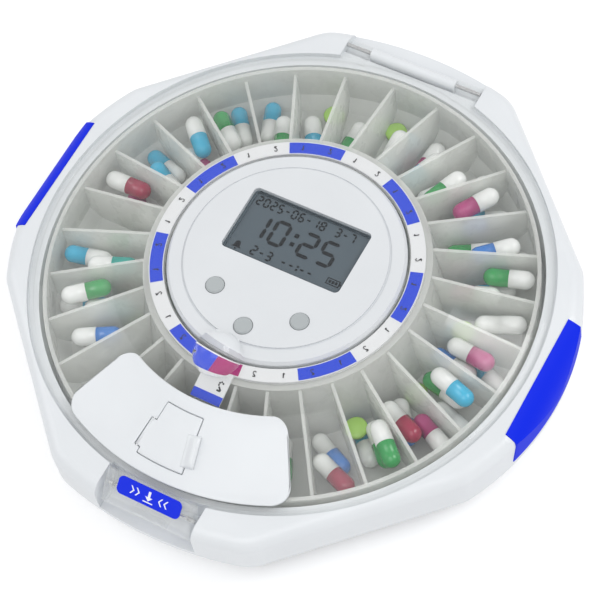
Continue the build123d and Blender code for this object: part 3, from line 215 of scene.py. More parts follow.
def edge_gloss(tree, least):
    """Share of gloss that grows towards grazing view, the same on both sides of a wall."""
    facing = add_node(tree, "ShaderNodeLayerWeight", Blend=0.5)
    power = add_node(tree, "ShaderNodeMath")
    power.operation = "POWER"
    power.inputs[1].default_value = GLOSS_POWER
    tree.links.new(facing.outputs["Facing"], power.inputs[0])
    return between(tree, power.outputs["Value"], least, 1.0)


def clear(name, color, rough, veil=0.008, edge=0.16, least=0.022):
    """Clear moulded plastic: see-through, with gloss that grows towards its edges and a faint haze."""
    material, tree, shader = new_material(name)
    shader.inputs["Base Color"].default_value = HAZE_COLOR
    shader.inputs["Roughness"].default_value = HAZE_ROUGHNESS
    gloss = add_node(tree, "ShaderNodeBsdfGlossy", Color=PLAIN_WHITE)
    roughness = between(tree, noise(tree, CLEAR_PATCHES, CLOUDY), rough, rough + CLEAR_SPREAD)
    tree.links.new(roughness, gloss.inputs["Roughness"])
    waves = add_node(tree, "ShaderNodeBump", Strength=CLEAR_WAVE_STRENGTH, Distance=CLEAR_WAVE_DEPTH)
    tree.links.new(noise(tree, CLEAR_WAVES), waves.inputs["Height"])
    tree.links.new(waves.outputs["Normal"], gloss.inputs["Normal"])
    through = add_node(tree, "ShaderNodeBsdfTransparent", Color=(*color, 1.0))
    facing = add_node(tree, "ShaderNodeLayerWeight", Blend=CLEAR_HAZE_BLEND)
    haze = tree.nodes.new("ShaderNodeMixShader")
    tree.links.new(between(tree, facing.outputs["Facing"], veil, veil + edge), haze.inputs["Fac"])
    tree.links.new(through.outputs["BSDF"], haze.inputs[1])
    tree.links.new(shader.outputs["BSDF"], haze.inputs[2])
    mix = tree.nodes.new("ShaderNodeMixShader")
    tree.links.new(edge_gloss(tree, least), mix.inputs["Fac"])
    tree.links.new(haze.outputs["Shader"], mix.inputs[1])
    tree.links.new(gloss.outputs["BSDF"], mix.inputs[2])
    tree.links.new(mix.outputs["Shader"], tree.nodes["Material Output"].inputs["Surface"])
    return material


def lens_glass(name, ior):
    """Solid clear lens that bends what is seen through it; lamps shine through to what lies under it."""
    material, tree, shader = new_material(name)
    shader.inputs["Base Color"].default_value = LENS_COLOR
    shader.inputs["Transmission Weight"].default_value = 1.0
    shader.inputs["IOR"].default_value = ior
    tree.links.new(between(tree, noise(tree, CLEAR_PATCHES), *LENS_ROUGHNESS), shader.inputs["Roughness"])
    path = tree.nodes.new("ShaderNodeLightPath")
    through = add_node(tree, "ShaderNodeBsdfTransparent", Color=LENS_SHADOW_COLOR)
    mix = tree.nodes.new("ShaderNodeMixShader")
    tree.links.new(path.outputs["Is Shadow Ray"], mix.inputs["Fac"])
    tree.links.new(shader.outputs["BSDF"], mix.inputs[1])
    tree.links.new(through.outputs["BSDF"], mix.inputs[2])
    tree.links.new(mix.outputs["Shader"], tree.nodes["Material Output"].inputs["Surface"])
    return material


def milky(name, color, veil):
    """Translucent moulded plastic: part veil, part see-through, with light carried in the walls."""
    material, tree, shader = new_material(name)
    darker = tuple(channel * MILKY_DARKER for channel in color)
    tone = two_tones(tree, MILKY_CLOUDS, CLOUDY, darker, color)
    roughness = between(tree, noise(tree, MILKY_PATCHES, CLOUDY), *MILKY_ROUGHNESS)
    tree.links.new(tone, shader.inputs["Base Color"])
    tree.links.new(roughness, shader.inputs["Roughness"])
    bump(tree, shader, noise(tree, MILKY_WAVES), MILKY_WAVE_DEPTH, MILKY_WAVE_STRENGTH)
    glow = add_node(tree, "ShaderNodeBsdfTranslucent")
    tree.links.new(tone, glow.inputs["Color"])
    body = tree.nodes.new("ShaderNodeMixShader")
    body.inputs["Fac"].default_value = MILKY_GLOW
    tree.links.new(shader.outputs["BSDF"], body.inputs[1])
    tree.links.new(glow.outputs["BSDF"], body.inputs[2])
    through = add_node(tree, "ShaderNodeBsdfTransparent", Color=MILKY_THROUGH_COLOR)
    mix = tree.nodes.new("ShaderNodeMixShader")
    mix.inputs["Fac"].default_value = veil
    tree.links.new(through.outputs["BSDF"], mix.inputs[1])
    tree.links.new(body.outputs["Shader"], mix.inputs[2])
    tree.links.new(mix.outputs["Shader"], tree.nodes["Material Output"].inputs["Surface"])
    return material


# ---------------------------------------------------------------- materials
WHITE = moulded("white_moulding", (0.745, 0.77, 0.795), 0.30, coat=0.12)
WHITE_MATTE = moulded("white_hub", (0.70, 0.722, 0.745), 0.42)
BLUE_GRIP = moulded("blue_grip", (0.001, 0.02, 0.74), 0.5, 2200.0, 0.03 * MM, variation=0.001, specular=0.12)
GREY_BUTTON = moulded("grey_button", (0.42, 0.45, 0.46), 0.5)
GREY = moulded("grey_moulding", (0.30, 0.31, 0.32), 0.5)
BLACK = moulded("black_moulding", (0.02, 0.02, 0.02), 0.45, variation=0.01)
BOARD = moulded("board_green", (0.02, 0.16, 0.07), 0.4, variation=0.01)
CELL_WRAP = moulded("cell_wrap", (0.06, 0.06, 0.065), 0.25, variation=0.02)
RUBBER = moulded("foot_rubber", (0.03, 0.03, 0.03), 0.75, grain=1800.0, variation=0.01)
STEEL = metal("zinc_steel", (0.62, 0.61, 0.58), 0.35)
BRIGHT_STEEL = metal("bright_steel", (0.72, 0.72, 0.73), 0.18)
CLEAR_LID = clear("clear_lid", (0.996, 0.998, 0.996), 0.04)
CLEAR_LATCH = clear("clear_latch", (0.995, 0.998, 0.998), 0.05, veil=0.12)
CLEAR_LENS = lens_glass("clear_lens", 1.46)
CLEAR_PANE = clear("clear_pane", (0.97, 0.98, 0.985), 0.08, veil=0.005, edge=0.05, least=0.02)
MILKY = milky("milky_tray", (0.99, 0.998, 0.978), 0.56)
PRINT_WHITE = moulded("print_white", (0.78, 0.785, 0.80), 0.35, variation=0.015)
PRINT_BLUE = moulded("print_blue", (0.008, 0.055, 0.66), 0.4, variation=0.005, specular=0.2)
PRINT_MAGENTA = moulded("print_magenta", (0.40, 0.01, 0.16), 0.4, variation=0.01, specular=0.2)
PRINT_BLACK = moulded("print_black", (0.015, 0.015, 0.02), 0.5, variation=0.005)
LABEL_BLUE = moulded("label_blue", (0.001, 0.022, 0.74), 0.2, variation=0.001, coat=0.25, specular=0.2)
LABEL_WHITE = moulded("label_white", (0.85, 0.87, 0.93), 0.3, variation=0.01)
LCD_GLASS = moulded("display_glass", (0.090, 0.118, 0.140), 0.35, variation=0.012)
LCD_DARK = moulded("display_segment", (0.005, 0.007, 0.011), 0.5, variation=0.002, specular=0.2)

NODE_MATERIALS = {
    "base_housing": WHITE,
    "bottom_cover": WHITE,
    "battery_door": WHITE,
    "left_grip": BLUE_GRIP,
    "right_grip": BLUE_GRIP,
    "rubber_feet": RUBBER,
    "base_screws": STEEL,
    "battery_door_screw": STEEL,
    "board_screws": STEEL,
    "batteries": CELL_WRAP,
    "battery_contacts": STEEL,
    "pill_tray": MILKY,
    "dose_ring": PRINT_WHITE,
    "drive_pinion": GREY,
    "gearbox_case": GREY,
    "motor": STEEL,
    "circuit_board": BOARD,
    "tact_switches": BLACK,
    "buzzer": BLACK,
    "hub_cover": WHITE_MATTE,
    "display_window": CLEAR_PANE,
    "lcd_panel": LCD_GLASS,
    "lcd_frame": LCD_GLASS,
    "lid": CLEAR_LID,
    "lid_panel": WHITE,
    "magnifier_lens": CLEAR_LENS,
    "dispensing_flap": WHITE,
    "flap_pin": BRIGHT_STEEL,
    "hinge_pin": BRIGHT_STEEL,
    "latch_pin": BRIGHT_STEEL,
    "press_latch": CLEAR_LATCH,
    "latch_label": LABEL_BLUE,
    "button_left": GREY_BUTTON,
    "button_middle": GREY_BUTTON,
    "button_right": GREY_BUTTON,
    "plunger_left": BLACK,
    "plunger_middle": BLACK,
    "plunger_right": BLACK,
}


def dress_nodes():
    """Gives every node of the frame its material."""
    for name, node in NODES.items():
        material = NODE_MATERIALS[name]
        node.data.materials.clear()
        node.data.materials.append(material)
        for slot in node.material_slots:
            slot.material = material


# ---------------------------------------------------------------- mesh helpers
def add_object(name, bm, material, body, smooth=False):
    """Object from a bmesh, riding on a body."""
    mesh = bpy.data.meshes.new(name)
    bm.to_mesh(mesh)
    bm.free()
    for polygon in mesh.polygons:
        polygon.use_smooth = smooth
    piece = bpy.data.objects.new(name, mesh)
    bpy.context.scene.collection.objects.link(piece)
    for entry in material if isinstance(material, tuple) else (material,):
        mesh.materials.append(entry)
    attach(piece, body)
    return piece


def slab(bm, outline, low, high, place):
    """Thin prism of a flat outline between two heights, put in place by a matrix."""
    bottom = [bm.verts.new(place @ Vector((x, y, low))) for x, y in outline]
    top = [bm.verts.new(place @ Vector((x, y, high))) for x, y in outline]
    bm.faces.new(top)
    bm.faces.new(list(reversed(bottom)))
    for i in range(len(outline)):
        j = (i + 1) % len(outline)
        bm.faces.new((bottom[i], bottom[j], top[j], top[i]))


def arc_points(radius, start, end, count):
    """Points on an arc in degrees."""
    angles = [math.radians(start + (end - start) * i / count) for i in range(count + 1)]
    return [(radius * math.cos(a), radius * math.sin(a)) for a in angles]


def ring_piece(inner, outer, start, end):
    """Outline of a piece of a flat ring."""
    count = max(2, int(abs(end - start) / 2))
    return arc_points(outer, start, end, count) + arc_points(inner, end, start, count)


# ---------------------------------------------------------------- strokes and characters
SEGMENTS = {
    "0": "abcdef",
    "1": "bc",
    "2": "abged",
    "3": "abgcd",
    "4": "fgbc",
    "5": "afgcd",
    "6": "afgedc",
    "7": "abc",
    "8": "abcdefg",
    "9": "abcdfg",
    "-": "g",
}
SEGMENT_CUT = 0.08
COLON_LEVELS = (0.3, 0.7)
COLON_DOT = 0.6
COLON_PITCH = 0.45


def stroke(a, b, width, cut=0.0):
    """Outline of a straight stroke with pointed ends, between two points."""
    ax, ay = a
    bx, by = b
    length = math.hypot(bx - ax, by - ay)
    ux, uy = (bx - ax) / length, (by - ay) / length
    h = width / 2
    ax, ay = ax + ux * cut, ay + uy * cut
    bx, by = bx - ux * cut, by - uy * cut
    return [
        (ax, ay),
        (ax + ux * h - uy * h, ay + uy * h + ux * h),
        (bx - ux * h - uy * h, by - uy * h + ux * h),
        (bx, by),
        (bx - ux * h + uy * h, by - uy * h - ux * h),
        (ax + ux * h + uy * h, ay + uy * h - ux * h),
    ]


def segment_strokes(text, x, y, height, width, thick, pitch):
    """Seven-segment strokes of a row of characters; x and y give the first one's lower left corner."""
    outlines = []
    for character in text:
        if character == ":":
            h = thick * COLON_DOT
            for level in COLON_LEVELS:
                cx, cy = x + thick / 2, y + height * level
                outlines.append([(cx - h, cy - h), (cx + h, cy - h), (cx + h, cy + h), (cx - h, cy + h)])
            x += pitch * COLON_PITCH
            continue
        corners = {
            "a": ((x, y + height), (x + width, y + height)),
            "b": ((x + width, y + height), (x + width, y + height / 2)),
            "c": ((x + width, y + height / 2), (x + width, y)),
            "d": ((x, y), (x + width, y)),
            "e": ((x, y + height / 2), (x, y)),
            "f": ((x, y + height), (x, y + height / 2)),
            "g": ((x, y + height / 2), (x + width, y + height / 2)),
        }
        for segment in SEGMENTS.get(character, ""):
            outlines.append(stroke(*corners[segment], thick, thick * SEGMENT_CUT))
        x += pitch
    return outlines


# ---------------------------------------------------------------- printed dose ring
RING_TOP_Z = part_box("dose_ring")[1][2]
RING_PRINT_MARGIN = 0.35 * MM
PRINT_LIFT = 0.08 * MM
DIGIT_HEIGHT = 2.1 * MM
DIGIT_WIDTH = 1.15 * MM
DIGIT_STROKE = 0.42 * MM


def digit_outlines(number):
    """Strokes of a small printed 1 or 2, centred, reading upright with +y up."""
    h, w = DIGIT_HEIGHT / 2, DIGIT_WIDTH / 2
    hook = [(-w, h * 0.55), (-w * 0.4, h), (w * 0.5, h * 0.95), (w, h * 0.45), (w * 0.6, -h * 0.05), (-w, -h)]
    lines = {
        "1": [[(0, -h), (0, h)], [(0, h), (-w, h * 0.45)]],
        "2": [hook, [(-w, -h), (w, -h)]],
    }
    pairs = [pair for line in lines[number] for pair in zip(line, line[1:])]
    return [stroke(start, end, DIGIT_STROKE) for start, end in pairs]


def make_ring_print():
    """Coloured sectors and mirrored numbers on the dose ring."""
    first = START_ANGLE - SECTOR / 2
    groups = {"blue": bmesh.new(), "magenta": bmesh.new(), "black": bmesh.new()}
    flat = Matrix.Identity(4)
    middle = Matrix.Translation((0, (RING_INNER + RING_OUTER) / 2, 0))
    half_turn = Matrix.Diagonal((-1, -1, 1, 1))
    inner, outer = RING_INNER + RING_PRINT_MARGIN, RING_OUTER - RING_PRINT_MARGIN
    sector_top = RING_TOP_Z + PRINT_LIFT
    number_top = sector_top + PRINT_LIFT
    slab(groups["magenta"], ring_piece(inner, outer, first, first + SECTOR), RING_TOP_Z, sector_top, flat)
    for pair in range(COMPARTMENTS // 2):
        start = first + SECTOR + 2 * SECTOR * pair
        if pair % 2 == 1:
            outline = ring_piece(inner, outer, start, start + 2 * SECTOR)
            slab(groups["blue"], outline, RING_TOP_Z, sector_top, flat)
        for half, number in ((0, "2"), (1, "1")):
            angle = math.radians(start + SECTOR * (half + 0.5))
            place = Matrix.Rotation(angle - math.pi / 2, 4, "Z") @ middle @ half_turn
            for outline in digit_outlines(number):
                mirrored = [(-x, y) for x, y in outline]
                slab(groups["black"], mirrored, sector_top, number_top, place)
    add_object("ring_print_blue", groups["blue"], PRINT_BLUE, "tray")
    add_object("ring_print_magenta", groups["magenta"], PRINT_MAGENTA, "tray")
    add_object("ring_print_numbers", groups["black"], PRINT_BLACK, "tray")


# ---------------------------------------------------------------- tab of the ring
TAB_SLOPE = (DIVIDER_INNER_TOP_Z - DIVIDER_OUTER_TOP_Z) / (TRAY_RADIUS - INNER_WALL_RADIUS)
TAB_BEND_Y = -54.05 * MM
TAB_BEND_Z = 45.1 * MM
TAB_END_Y = -63.0 * MM
TAB_X = (-5.5 * MM, 6.5 * MM)
TAB_BAND_WIDTH = 3.5 * MM
TAB_NUMBER_SCALE = 1.6
TAB_NUMBER_X = 3.6 * MM
TAB_NUMBER_Y = -2.3 * MM


def make_tab_print():
    """Plain number and blue band on the ring's tab."""
    tilt = Matrix.Rotation(math.atan(TAB_SLOPE), 4, "X")
    place = Matrix.Translation((0, TAB_BEND_Y, TAB_BEND_Z)) @ tilt
    length = (TAB_BEND_Y - TAB_END_Y) / math.cos(math.atan(TAB_SLOPE))
    band = bmesh.new()
    x0, x1 = TAB_X
    y0, y1 = -length, -length + TAB_BAND_WIDTH
    slab(band, [(x0, y0), (x1, y0), (x1, y1), (x0, y1)], 0, PRINT_LIFT, place)
    add_object("tab_band", band, PRINT_BLUE, "tray")
    number = bmesh.new()
    scale = TAB_NUMBER_SCALE
    for outline in digit_outlines("2"):
        mirrored = [(TAB_NUMBER_X - x * scale, TAB_NUMBER_Y + y * scale) for x, y in outline]
        slab(number, mirrored, 0, PRINT_LIFT, place)
    add_object("tab_number", number, PRINT_BLACK, "tray")


# ---------------------------------------------------------------- lid panel and dispensing flap
PANEL_START = -119.5
PANEL_END = -60.5
PANEL_INNER = 65.9 * MM
PANEL_OUTER = 96.3 * MM
PANEL_CORNER = 6.5 * MM
PANEL_CORNER_STEPS = 10
PANEL_LAYER = (-0.8 * MM, 0.8 * MM)
FLAP_LAYER = (-0.5 * MM, 1.0 * MM)
FLAP_GAP = 0.2 * MM
FLAP_HINGE_ANGLE = -98.6
FLAP_STRIP_START = -98.95
FLAP_OPENING_START = -99.4
FLAP_BARREL_RADIUS = 0.85 * MM
FLAP_AXIS_RISE = 0.2 * MM
FLAP_LEDGE_LAYER = (-0.8 * MM, -0.58 * MM)
FLAP_LEDGE_WIDTH = 1.0 * MM
FLAP_PLATE_START = -97.75
FLAP_PLATE_END = -85.5
FLAP_INNER = 70.9 * MM
FLAP_OUTER = 91.3 * MM
FLAP_STRIP_INNER = 78.2 * MM
FLAP_STRIP_OUTER = 89.2 * MM
FLAP_STEPS = 14
FLAP_LEDGE_STEPS = 12
FLAP_BARREL_SIDES = 24
EDGE_ROUNDING = 0.5 * MM
EDGE_SEGMENTS = 3
SHARP_ANGLE = math.radians(50.0)
GRIP_START = 77.6 * MM
GRIP_LENGTH = 12.0 * MM
GRIP_WIDTH = 5.2 * MM
GRIP_HEIGHT = 1.9 * MM
GRIP_INSET = 0.6 * MM
GRIP_TURN = 6.7
GRIP_ROWS = 25
GRIP_COLUMNS = 15
GRIP_CREST = 0.8
GRIP_EDGE_DROP = 0.35
GRIP_END_POWER = 5


def slope_z(radius):
    """Height of the lid's sloping top."""
    if radius > LID_CONE_RADIUS:
        return slope_z(LID_CONE_RADIUS) - LID_BORDER_SLOPE * (radius - LID_CONE_RADIUS)
    return LID_TOP_Z - LID_SLOPE * (radius - LID_CREASE_RADIUS)


def sloped_plate(angles, radii, layer, filled, place=lambda angle, radius: radius, rounding=EDGE_ROUNDING):
    """Plate on the lid's slope, from the filled cells of a grid of angles and radii, with rounded edges."""
    bm = bmesh.new()
    sides = []
    for lift in layer:
        grid = []
        outward = lift * LID_SLOPE / (1 + LID_SLOPE**2)
        for angle in angles:
            a = math.radians(angle)
            reach = [place(angle, radius) + outward for radius in radii]
            grid.append([bm.verts.new((r * math.cos(a), r * math.sin(a), slope_z(r) + lift)) for r in reach])
        sides.append(grid)
    cells = set()
    for i in range(len(angles) - 1):
        for j in range(len(radii) - 1):
            if filled((angles[i] + angles[i + 1]) / 2, (radii[j] + radii[j + 1]) / 2):
                cells.add((i, j))
    low, high = sides
    for i, j in cells:
        corners = ((i, j), (i, j + 1), (i + 1, j + 1), (i + 1, j))
        bm.faces.new([high[u][v] for u, v in corners])
        bm.faces.new([low[u][v] for u, v in reversed(corners)])
        neighbours = ((i - 1, j), (i, j + 1), (i + 1, j), (i, j - 1))
        for side, neighbour in enumerate(neighbours):
            if neighbour not in cells:
                (u, v), (m, n) = corners[side], corners[(side + 1) % 4]
                bm.faces.new((high[u][v], low[u][v], low[m][n], high[m][n]))
    bmesh.ops.delete(bm, geom=[vertex for vertex in bm.verts if not vertex.link_faces], context="VERTS")
    bmesh.ops.recalc_face_normals(bm, faces=bm.faces)
    sharp = [edge for edge in bm.edges if edge.is_manifold and edge.calc_face_angle() > SHARP_ANGLE]
    bmesh.ops.bevel(bm, geom=sharp, offset=rounding, segments=EDGE_SEGMENTS, profile=0.5, affect="EDGES")
    return bm


def stepped_plan(strip_start, gap):
    """Stepped outline drawn in by a gap: its angles, its radii, and a test of whether a place lies on it."""
    turn = math.degrees(gap / FLAP_INNER)
    start, end = FLAP_PLATE_START + turn, FLAP_PLATE_END - turn
    inner, outer = FLAP_INNER + gap, FLAP_OUTER - gap
    strip_inner, strip_outer = FLAP_STRIP_INNER + gap, FLAP_STRIP_OUTER - gap
    angles = [strip_start] + [start + (end - start) * i / FLAP_STEPS for i in range(FLAP_STEPS + 1)]

    def covers(angle, radius):
        on_plate = start < angle < end and inner < radius < outer
        return on_plate or (strip_start < angle < start and strip_inner < radius < strip_outer)

    return angles, [inner, strip_inner, strip_outer, outer], covers


def panel_place(angle, radius):
    """Radius drawn in at the panel's rounded corners."""
    middle = (PANEL_INNER + PANEL_OUTER) / 2
    reach = math.radians(min(angle - PANEL_START, PANEL_END - angle)) * middle
    inside = max(PANEL_CORNER - reach, 0.0)
    cut = PANEL_CORNER - math.sqrt(PANEL_CORNER**2 - inside**2)
    half = (PANEL_OUTER - PANEL_INNER) / 2
    return middle + (radius - middle) * (half - cut) / half


def make_lid_panel():
    """White panel with its stepped opening, and the ledge under the opening's edge."""
    corner_turn = math.degrees(PANEL_CORNER / ((PANEL_INNER + PANEL_OUTER) / 2))
    quarter = [math.pi / 2 * i / PANEL_CORNER_STEPS for i in range(PANEL_CORNER_STEPS + 1)]
    ease = [corner_turn * (1 - math.cos(a)) for a in quarter]
    hole_angles, hole_radii, opening = stepped_plan(FLAP_OPENING_START, 0.0)
    left = [PANEL_START + step for step in ease]
    right = [PANEL_END - step for step in reversed(ease)]
    angles = left + right + hole_angles
    for start, end in ((left[-1], hole_angles[0]), (hole_angles[-1], right[0])):
        count = int(end - start)
        angles += [start + (end - start) * i / count for i in range(1, count)]
    angles.sort()
    radii = sorted([PANEL_INNER, *hole_radii, LID_CONE_RADIUS, PANEL_OUTER])
    bm = sloped_plate(angles, radii, PANEL_LAYER, lambda a, r: not opening(a, r), panel_place)
    panel = add_object("lid_panel_shell", bm, WHITE, "lid", smooth=True)
    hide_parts("lid_panel")
    add_object("lid_panel_ledge", opening_ledge(), WHITE, "lid")


def opening_ledge():
    """Thin ledge that the flap rests on, along three sides of the opening."""
    turn = math.degrees(FLAP_LEDGE_WIDTH / FLAP_INNER)
    start, end = FLAP_PLATE_START + turn, FLAP_PLATE_END
    side = end - turn
    inner, outer = FLAP_INNER + FLAP_LEDGE_WIDTH, FLAP_OUTER - FLAP_LEDGE_WIDTH
    angles = [start + (side - start) * i / FLAP_LEDGE_STEPS for i in range(FLAP_LEDGE_STEPS + 1)] + [end]
    radii = [FLAP_INNER, inner, outer, FLAP_OUTER]
    return sloped_plate(
        angles,
        radii,
        FLAP_LEDGE_LAYER,
        lambda a, r: a > side or not inner < r < outer,
        rounding=FLAP_GAP / 4,
    )


def flap_barrel():
    """Round barrel of the flap about its hinge line."""
    bm = bmesh.new()
    foot, end = FLAP_STRIP_INNER + FLAP_GAP, FLAP_STRIP_OUTER - FLAP_GAP
    length = (end - foot) * math.sqrt(1 + LID_SLOPE**2)
    turns = [2 * math.pi * i / FLAP_BARREL_SIDES for i in range(FLAP_BARREL_SIDES)]
    outline = [(FLAP_BARREL_RADIUS * math.cos(a), FLAP_BARREL_RADIUS * math.sin(a)) for a in turns]
    slab(bm, outline, 0.0, length, Matrix.Identity(4))
    place = Matrix.Translation((foot, 0.0, slope_z(foot) + FLAP_AXIS_RISE))
    tilt = Matrix.Rotation(math.pi / 2 + math.atan(LID_SLOPE), 4, "Y")
    turn = Matrix.Rotation(math.radians(FLAP_HINGE_ANGLE), 4, "Z")
    bmesh.ops.transform(bm, matrix=turn @ place @ tilt, verts=bm.verts)
    return bm


def flap_grip():
    """Finger grip on the flap's free edge: it rises towards the edge and ends in a step."""
    bm = bmesh.new()
    grid = []
    for i in range(GRIP_ROWS):
        u = i / (GRIP_ROWS - 1)
        fullness = math.sqrt(1.0 - abs(2 * u - 1) ** GRIP_END_POWER)
        line = []
        for j in range(GRIP_COLUMNS):
            v = j / (GRIP_COLUMNS - 1)
            rise = math.sin(math.pi / 2 * min(v / GRIP_CREST, 1.0)) ** 2
            drop = GRIP_EDGE_DROP * max(v - GRIP_CREST, 0.0) / (1.0 - GRIP_CREST)
            z = GRIP_HEIGHT * rise * (1.0 - drop) * fullness
            line.append(bm.verts.new((GRIP_LENGTH * u, GRIP_WIDTH * (v - 0.5), z)))
        grid.append(line)
    under = [[bm.verts.new((vertex.co.x, vertex.co.y, -FLAP_GAP)) for vertex in line] for line in grid]
    for i in range(GRIP_ROWS - 1):
        for j in range(GRIP_COLUMNS - 1):
            bm.faces.new((grid[i][j], grid[i + 1][j], grid[i + 1][j + 1], grid[i][j + 1]))
            bm.faces.new((under[i][j], under[i][j + 1], under[i + 1][j + 1], under[i + 1][j]))
    for i in range(GRIP_ROWS - 1):
        bm.faces.new((grid[i][0], under[i][0], under[i + 1][0], grid[i + 1][0]))
        bm.faces.new((grid[i][-1], grid[i + 1][-1], under[i + 1][-1], under[i][-1]))
    for j in range(GRIP_COLUMNS - 1):
        bm.faces.new((grid[0][j], grid[0][j + 1], under[0][j + 1], under[0][j]))
        bm.faces.new((grid[-1][j], under[-1][j], under[-1][j + 1], grid[-1][j + 1]))
    bmesh.ops.recalc_face_normals(bm, faces=bm.faces)
    foot = Matrix.Translation((GRIP_START, -GRIP_INSET, slope_z(GRIP_START) + FLAP_LAYER[1]))
    tilt = Matrix.Rotation(math.atan(LID_SLOPE), 4, "Y") @ Matrix.Rotation(math.radians(GRIP_TURN), 4, "Z")
    turn = Matrix.Rotation(math.radians(FLAP_PLATE_END), 4, "Z")
    bmesh.ops.transform(bm, matrix=turn @ foot @ tilt, verts=bm.verts)
    return bm


def make_flap():
    """Dispensing flap with its stepped outline, its barrel and its finger grip."""
    *flap_grid, covers = stepped_plan(FLAP_STRIP_START, FLAP_GAP)
    bm = sloped_plate(*flap_grid, FLAP_LAYER, covers)
    flap = add_object("dispensing_flap_plate", bm, WHITE, "flap", smooth=True)
    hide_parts("dispensing_flap")
    add_object("dispensing_flap_barrel", flap_barrel(), WHITE, "flap", smooth=True)
    add_object("dispensing_flap_grip", flap_grip(), WHITE, "flap", smooth=True)


# ---------------------------------------------------------------- magnifier
LENS_RADIUS = 9.2 * MM
LENS_PLACE = (-2.3 * MM, -46.8 * MM)
LENS_FOOT_Z = LID_TOP_Z
LENS_SIDES = 96
LENS_RINGS = 32


def make_lens():
    """Finely meshed dome of the magnifier, moulded onto the lid, so it has no underside of its own."""
    bm = bmesh.new()
    x, y = LENS_PLACE
    angles = [2 * math.pi * k / LENS_SIDES for k in range(LENS_SIDES)]
    loops = []
    for i in range(LENS_RINGS):
        rise = math.pi / 2 * i / LENS_RINGS
        radius, z = LENS_RADIUS * math.cos(rise), LENS_FOOT_Z + LENS_RADIUS * math.sin(rise)
        loops.append([bm.verts.new((x + radius * math.cos(a), y + radius * math.sin(a), z)) for a in angles])
    for low, high in zip(loops, loops[1:]):
        for k in range(LENS_SIDES):
            m = (k + 1) % LENS_SIDES
            bm.faces.new((low[k], low[m], high[m], high[k]))
    top = bm.verts.new((x, y, LENS_FOOT_Z + LENS_RADIUS))
    for k in range(LENS_SIDES):
        bm.faces.new((loops[-1][k], loops[-1][(k + 1) % LENS_SIDES], top))
    piece = add_object("magnifier_dome", bm, CLEAR_LENS, "lid", smooth=True)
    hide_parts("magnifier_lens")


# ---------------------------------------------------------------- display
LCD_TOP_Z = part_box("lcd_panel")[1][2]
LCD_MIDDLE = Vector((0.0, 7.9 * MM, 0.0))
LCD_LIFT = 0.06 * MM

# Rows of the display: text, then in mm its first character's lower left corner, the characters' height and
# width, the width of their strokes, and their pitch.
DISPLAY_ROWS = (
    ("2025-06-18", -22.5, 8.6, 3.5, 1.8, 0.72, 3.0),
    ("3-7", 11.0, 8.6, 3.5, 1.8, 0.72, 3.0),
    ("10:25", -19.0, -4.3, 9.8, 5.4, 1.5, 8.4),
    ("2-3", -14.0, -11.4, 3.6, 1.9, 0.75, 3.2),
    ("--:--", -1.5, -11.4, 3.6, 1.9, 0.75, 3.2),
)
# Outlines of the small signs, in mm from their own place.
BELL_PLACE = (-20.0, -10.0)
BELL_SIDE = ((2.0, -1.2), (1.3, -0.6), (1.1, 0.9), (0.5, 1.7))
BELL_BODY = BELL_SIDE + tuple((-u, v) for u, v in reversed(BELL_SIDE))
BELL_CLAPPER = ((-0.3, -2.1), (0.3, -2.1), (0.5, -1.5), (-0.5, -1.5))
CELL_PLACE = (17.5, -10.6)
CELL_BARS = (
    (0.0, 0.0, 5.4, 0.4),
    (0.0, 2.4, 5.4, 2.8),
    (0.0, 0.4, 0.4, 2.4),
    (5.0, 0.4, 5.4, 2.4),
    (5.4, 0.9, 5.9, 1.9),
    (0.9, 0.8, 1.9, 2.0),
    (2.2, 0.8, 3.2, 2.0),
    (3.5, 0.8, 4.5, 2.0),
)


def placed_outline(outline, place):
    """Outline in mm, shifted to its place and put in metres."""
    return [((place[0] + u) * MM, (place[1] + v) * MM) for u, v in outline]


def make_display():
    """Digits, dashes, bell and battery sign on the display."""
    place = Matrix.Translation((LCD_MIDDLE.x, LCD_MIDDLE.y, LCD_TOP_Z))
    bars = [((x0, y0), (x1, y0), (x1, y1), (x0, y1)) for x0, y0, x1, y1 in CELL_BARS]
    outlines = []
    for text, *sizes in DISPLAY_ROWS:
        outlines += segment_strokes(text, *(size * MM for size in sizes))
    outlines += [placed_outline(outline, BELL_PLACE) for outline in (BELL_BODY, BELL_CLAPPER)]
    outlines += [placed_outline(bar, CELL_PLACE) for bar in bars]
    dark = bmesh.new()
    for outline in outlines:
        slab(dark, outline, 0, LCD_LIFT, place)
    add_object("display_digits", dark, LCD_DARK, "base")


# ---------------------------------------------------------------- latch sign
LATCH_FACE_SLOPE = 5.15 / 5.7
LATCH_SIGN_LIFT = 0.16 * MM
# Outlines of the sign, in mm from the label's middle.
ARROW_SHAFT = ((-0.5, 2.1), (-0.5, -0.1), (0.5, -0.1), (0.5, 2.1))
ARROW_HEAD = ((-1.5, -0.1), (0.0, -1.6), (1.5, -0.1))
SIGN_LINE = ((-2.0, -2.3), (2.0, -2.3), (2.0, -1.9), (-2.0, -1.9))
CHEVRON = ((0.0, 1.5), (-1.2, 0.0), (0.0, -1.5), (0.5, -1.5), (-0.6, 0.0), (0.5, 1.5))
CHEVRON_START = 5.0
CHEVRON_PITCH = 2.2


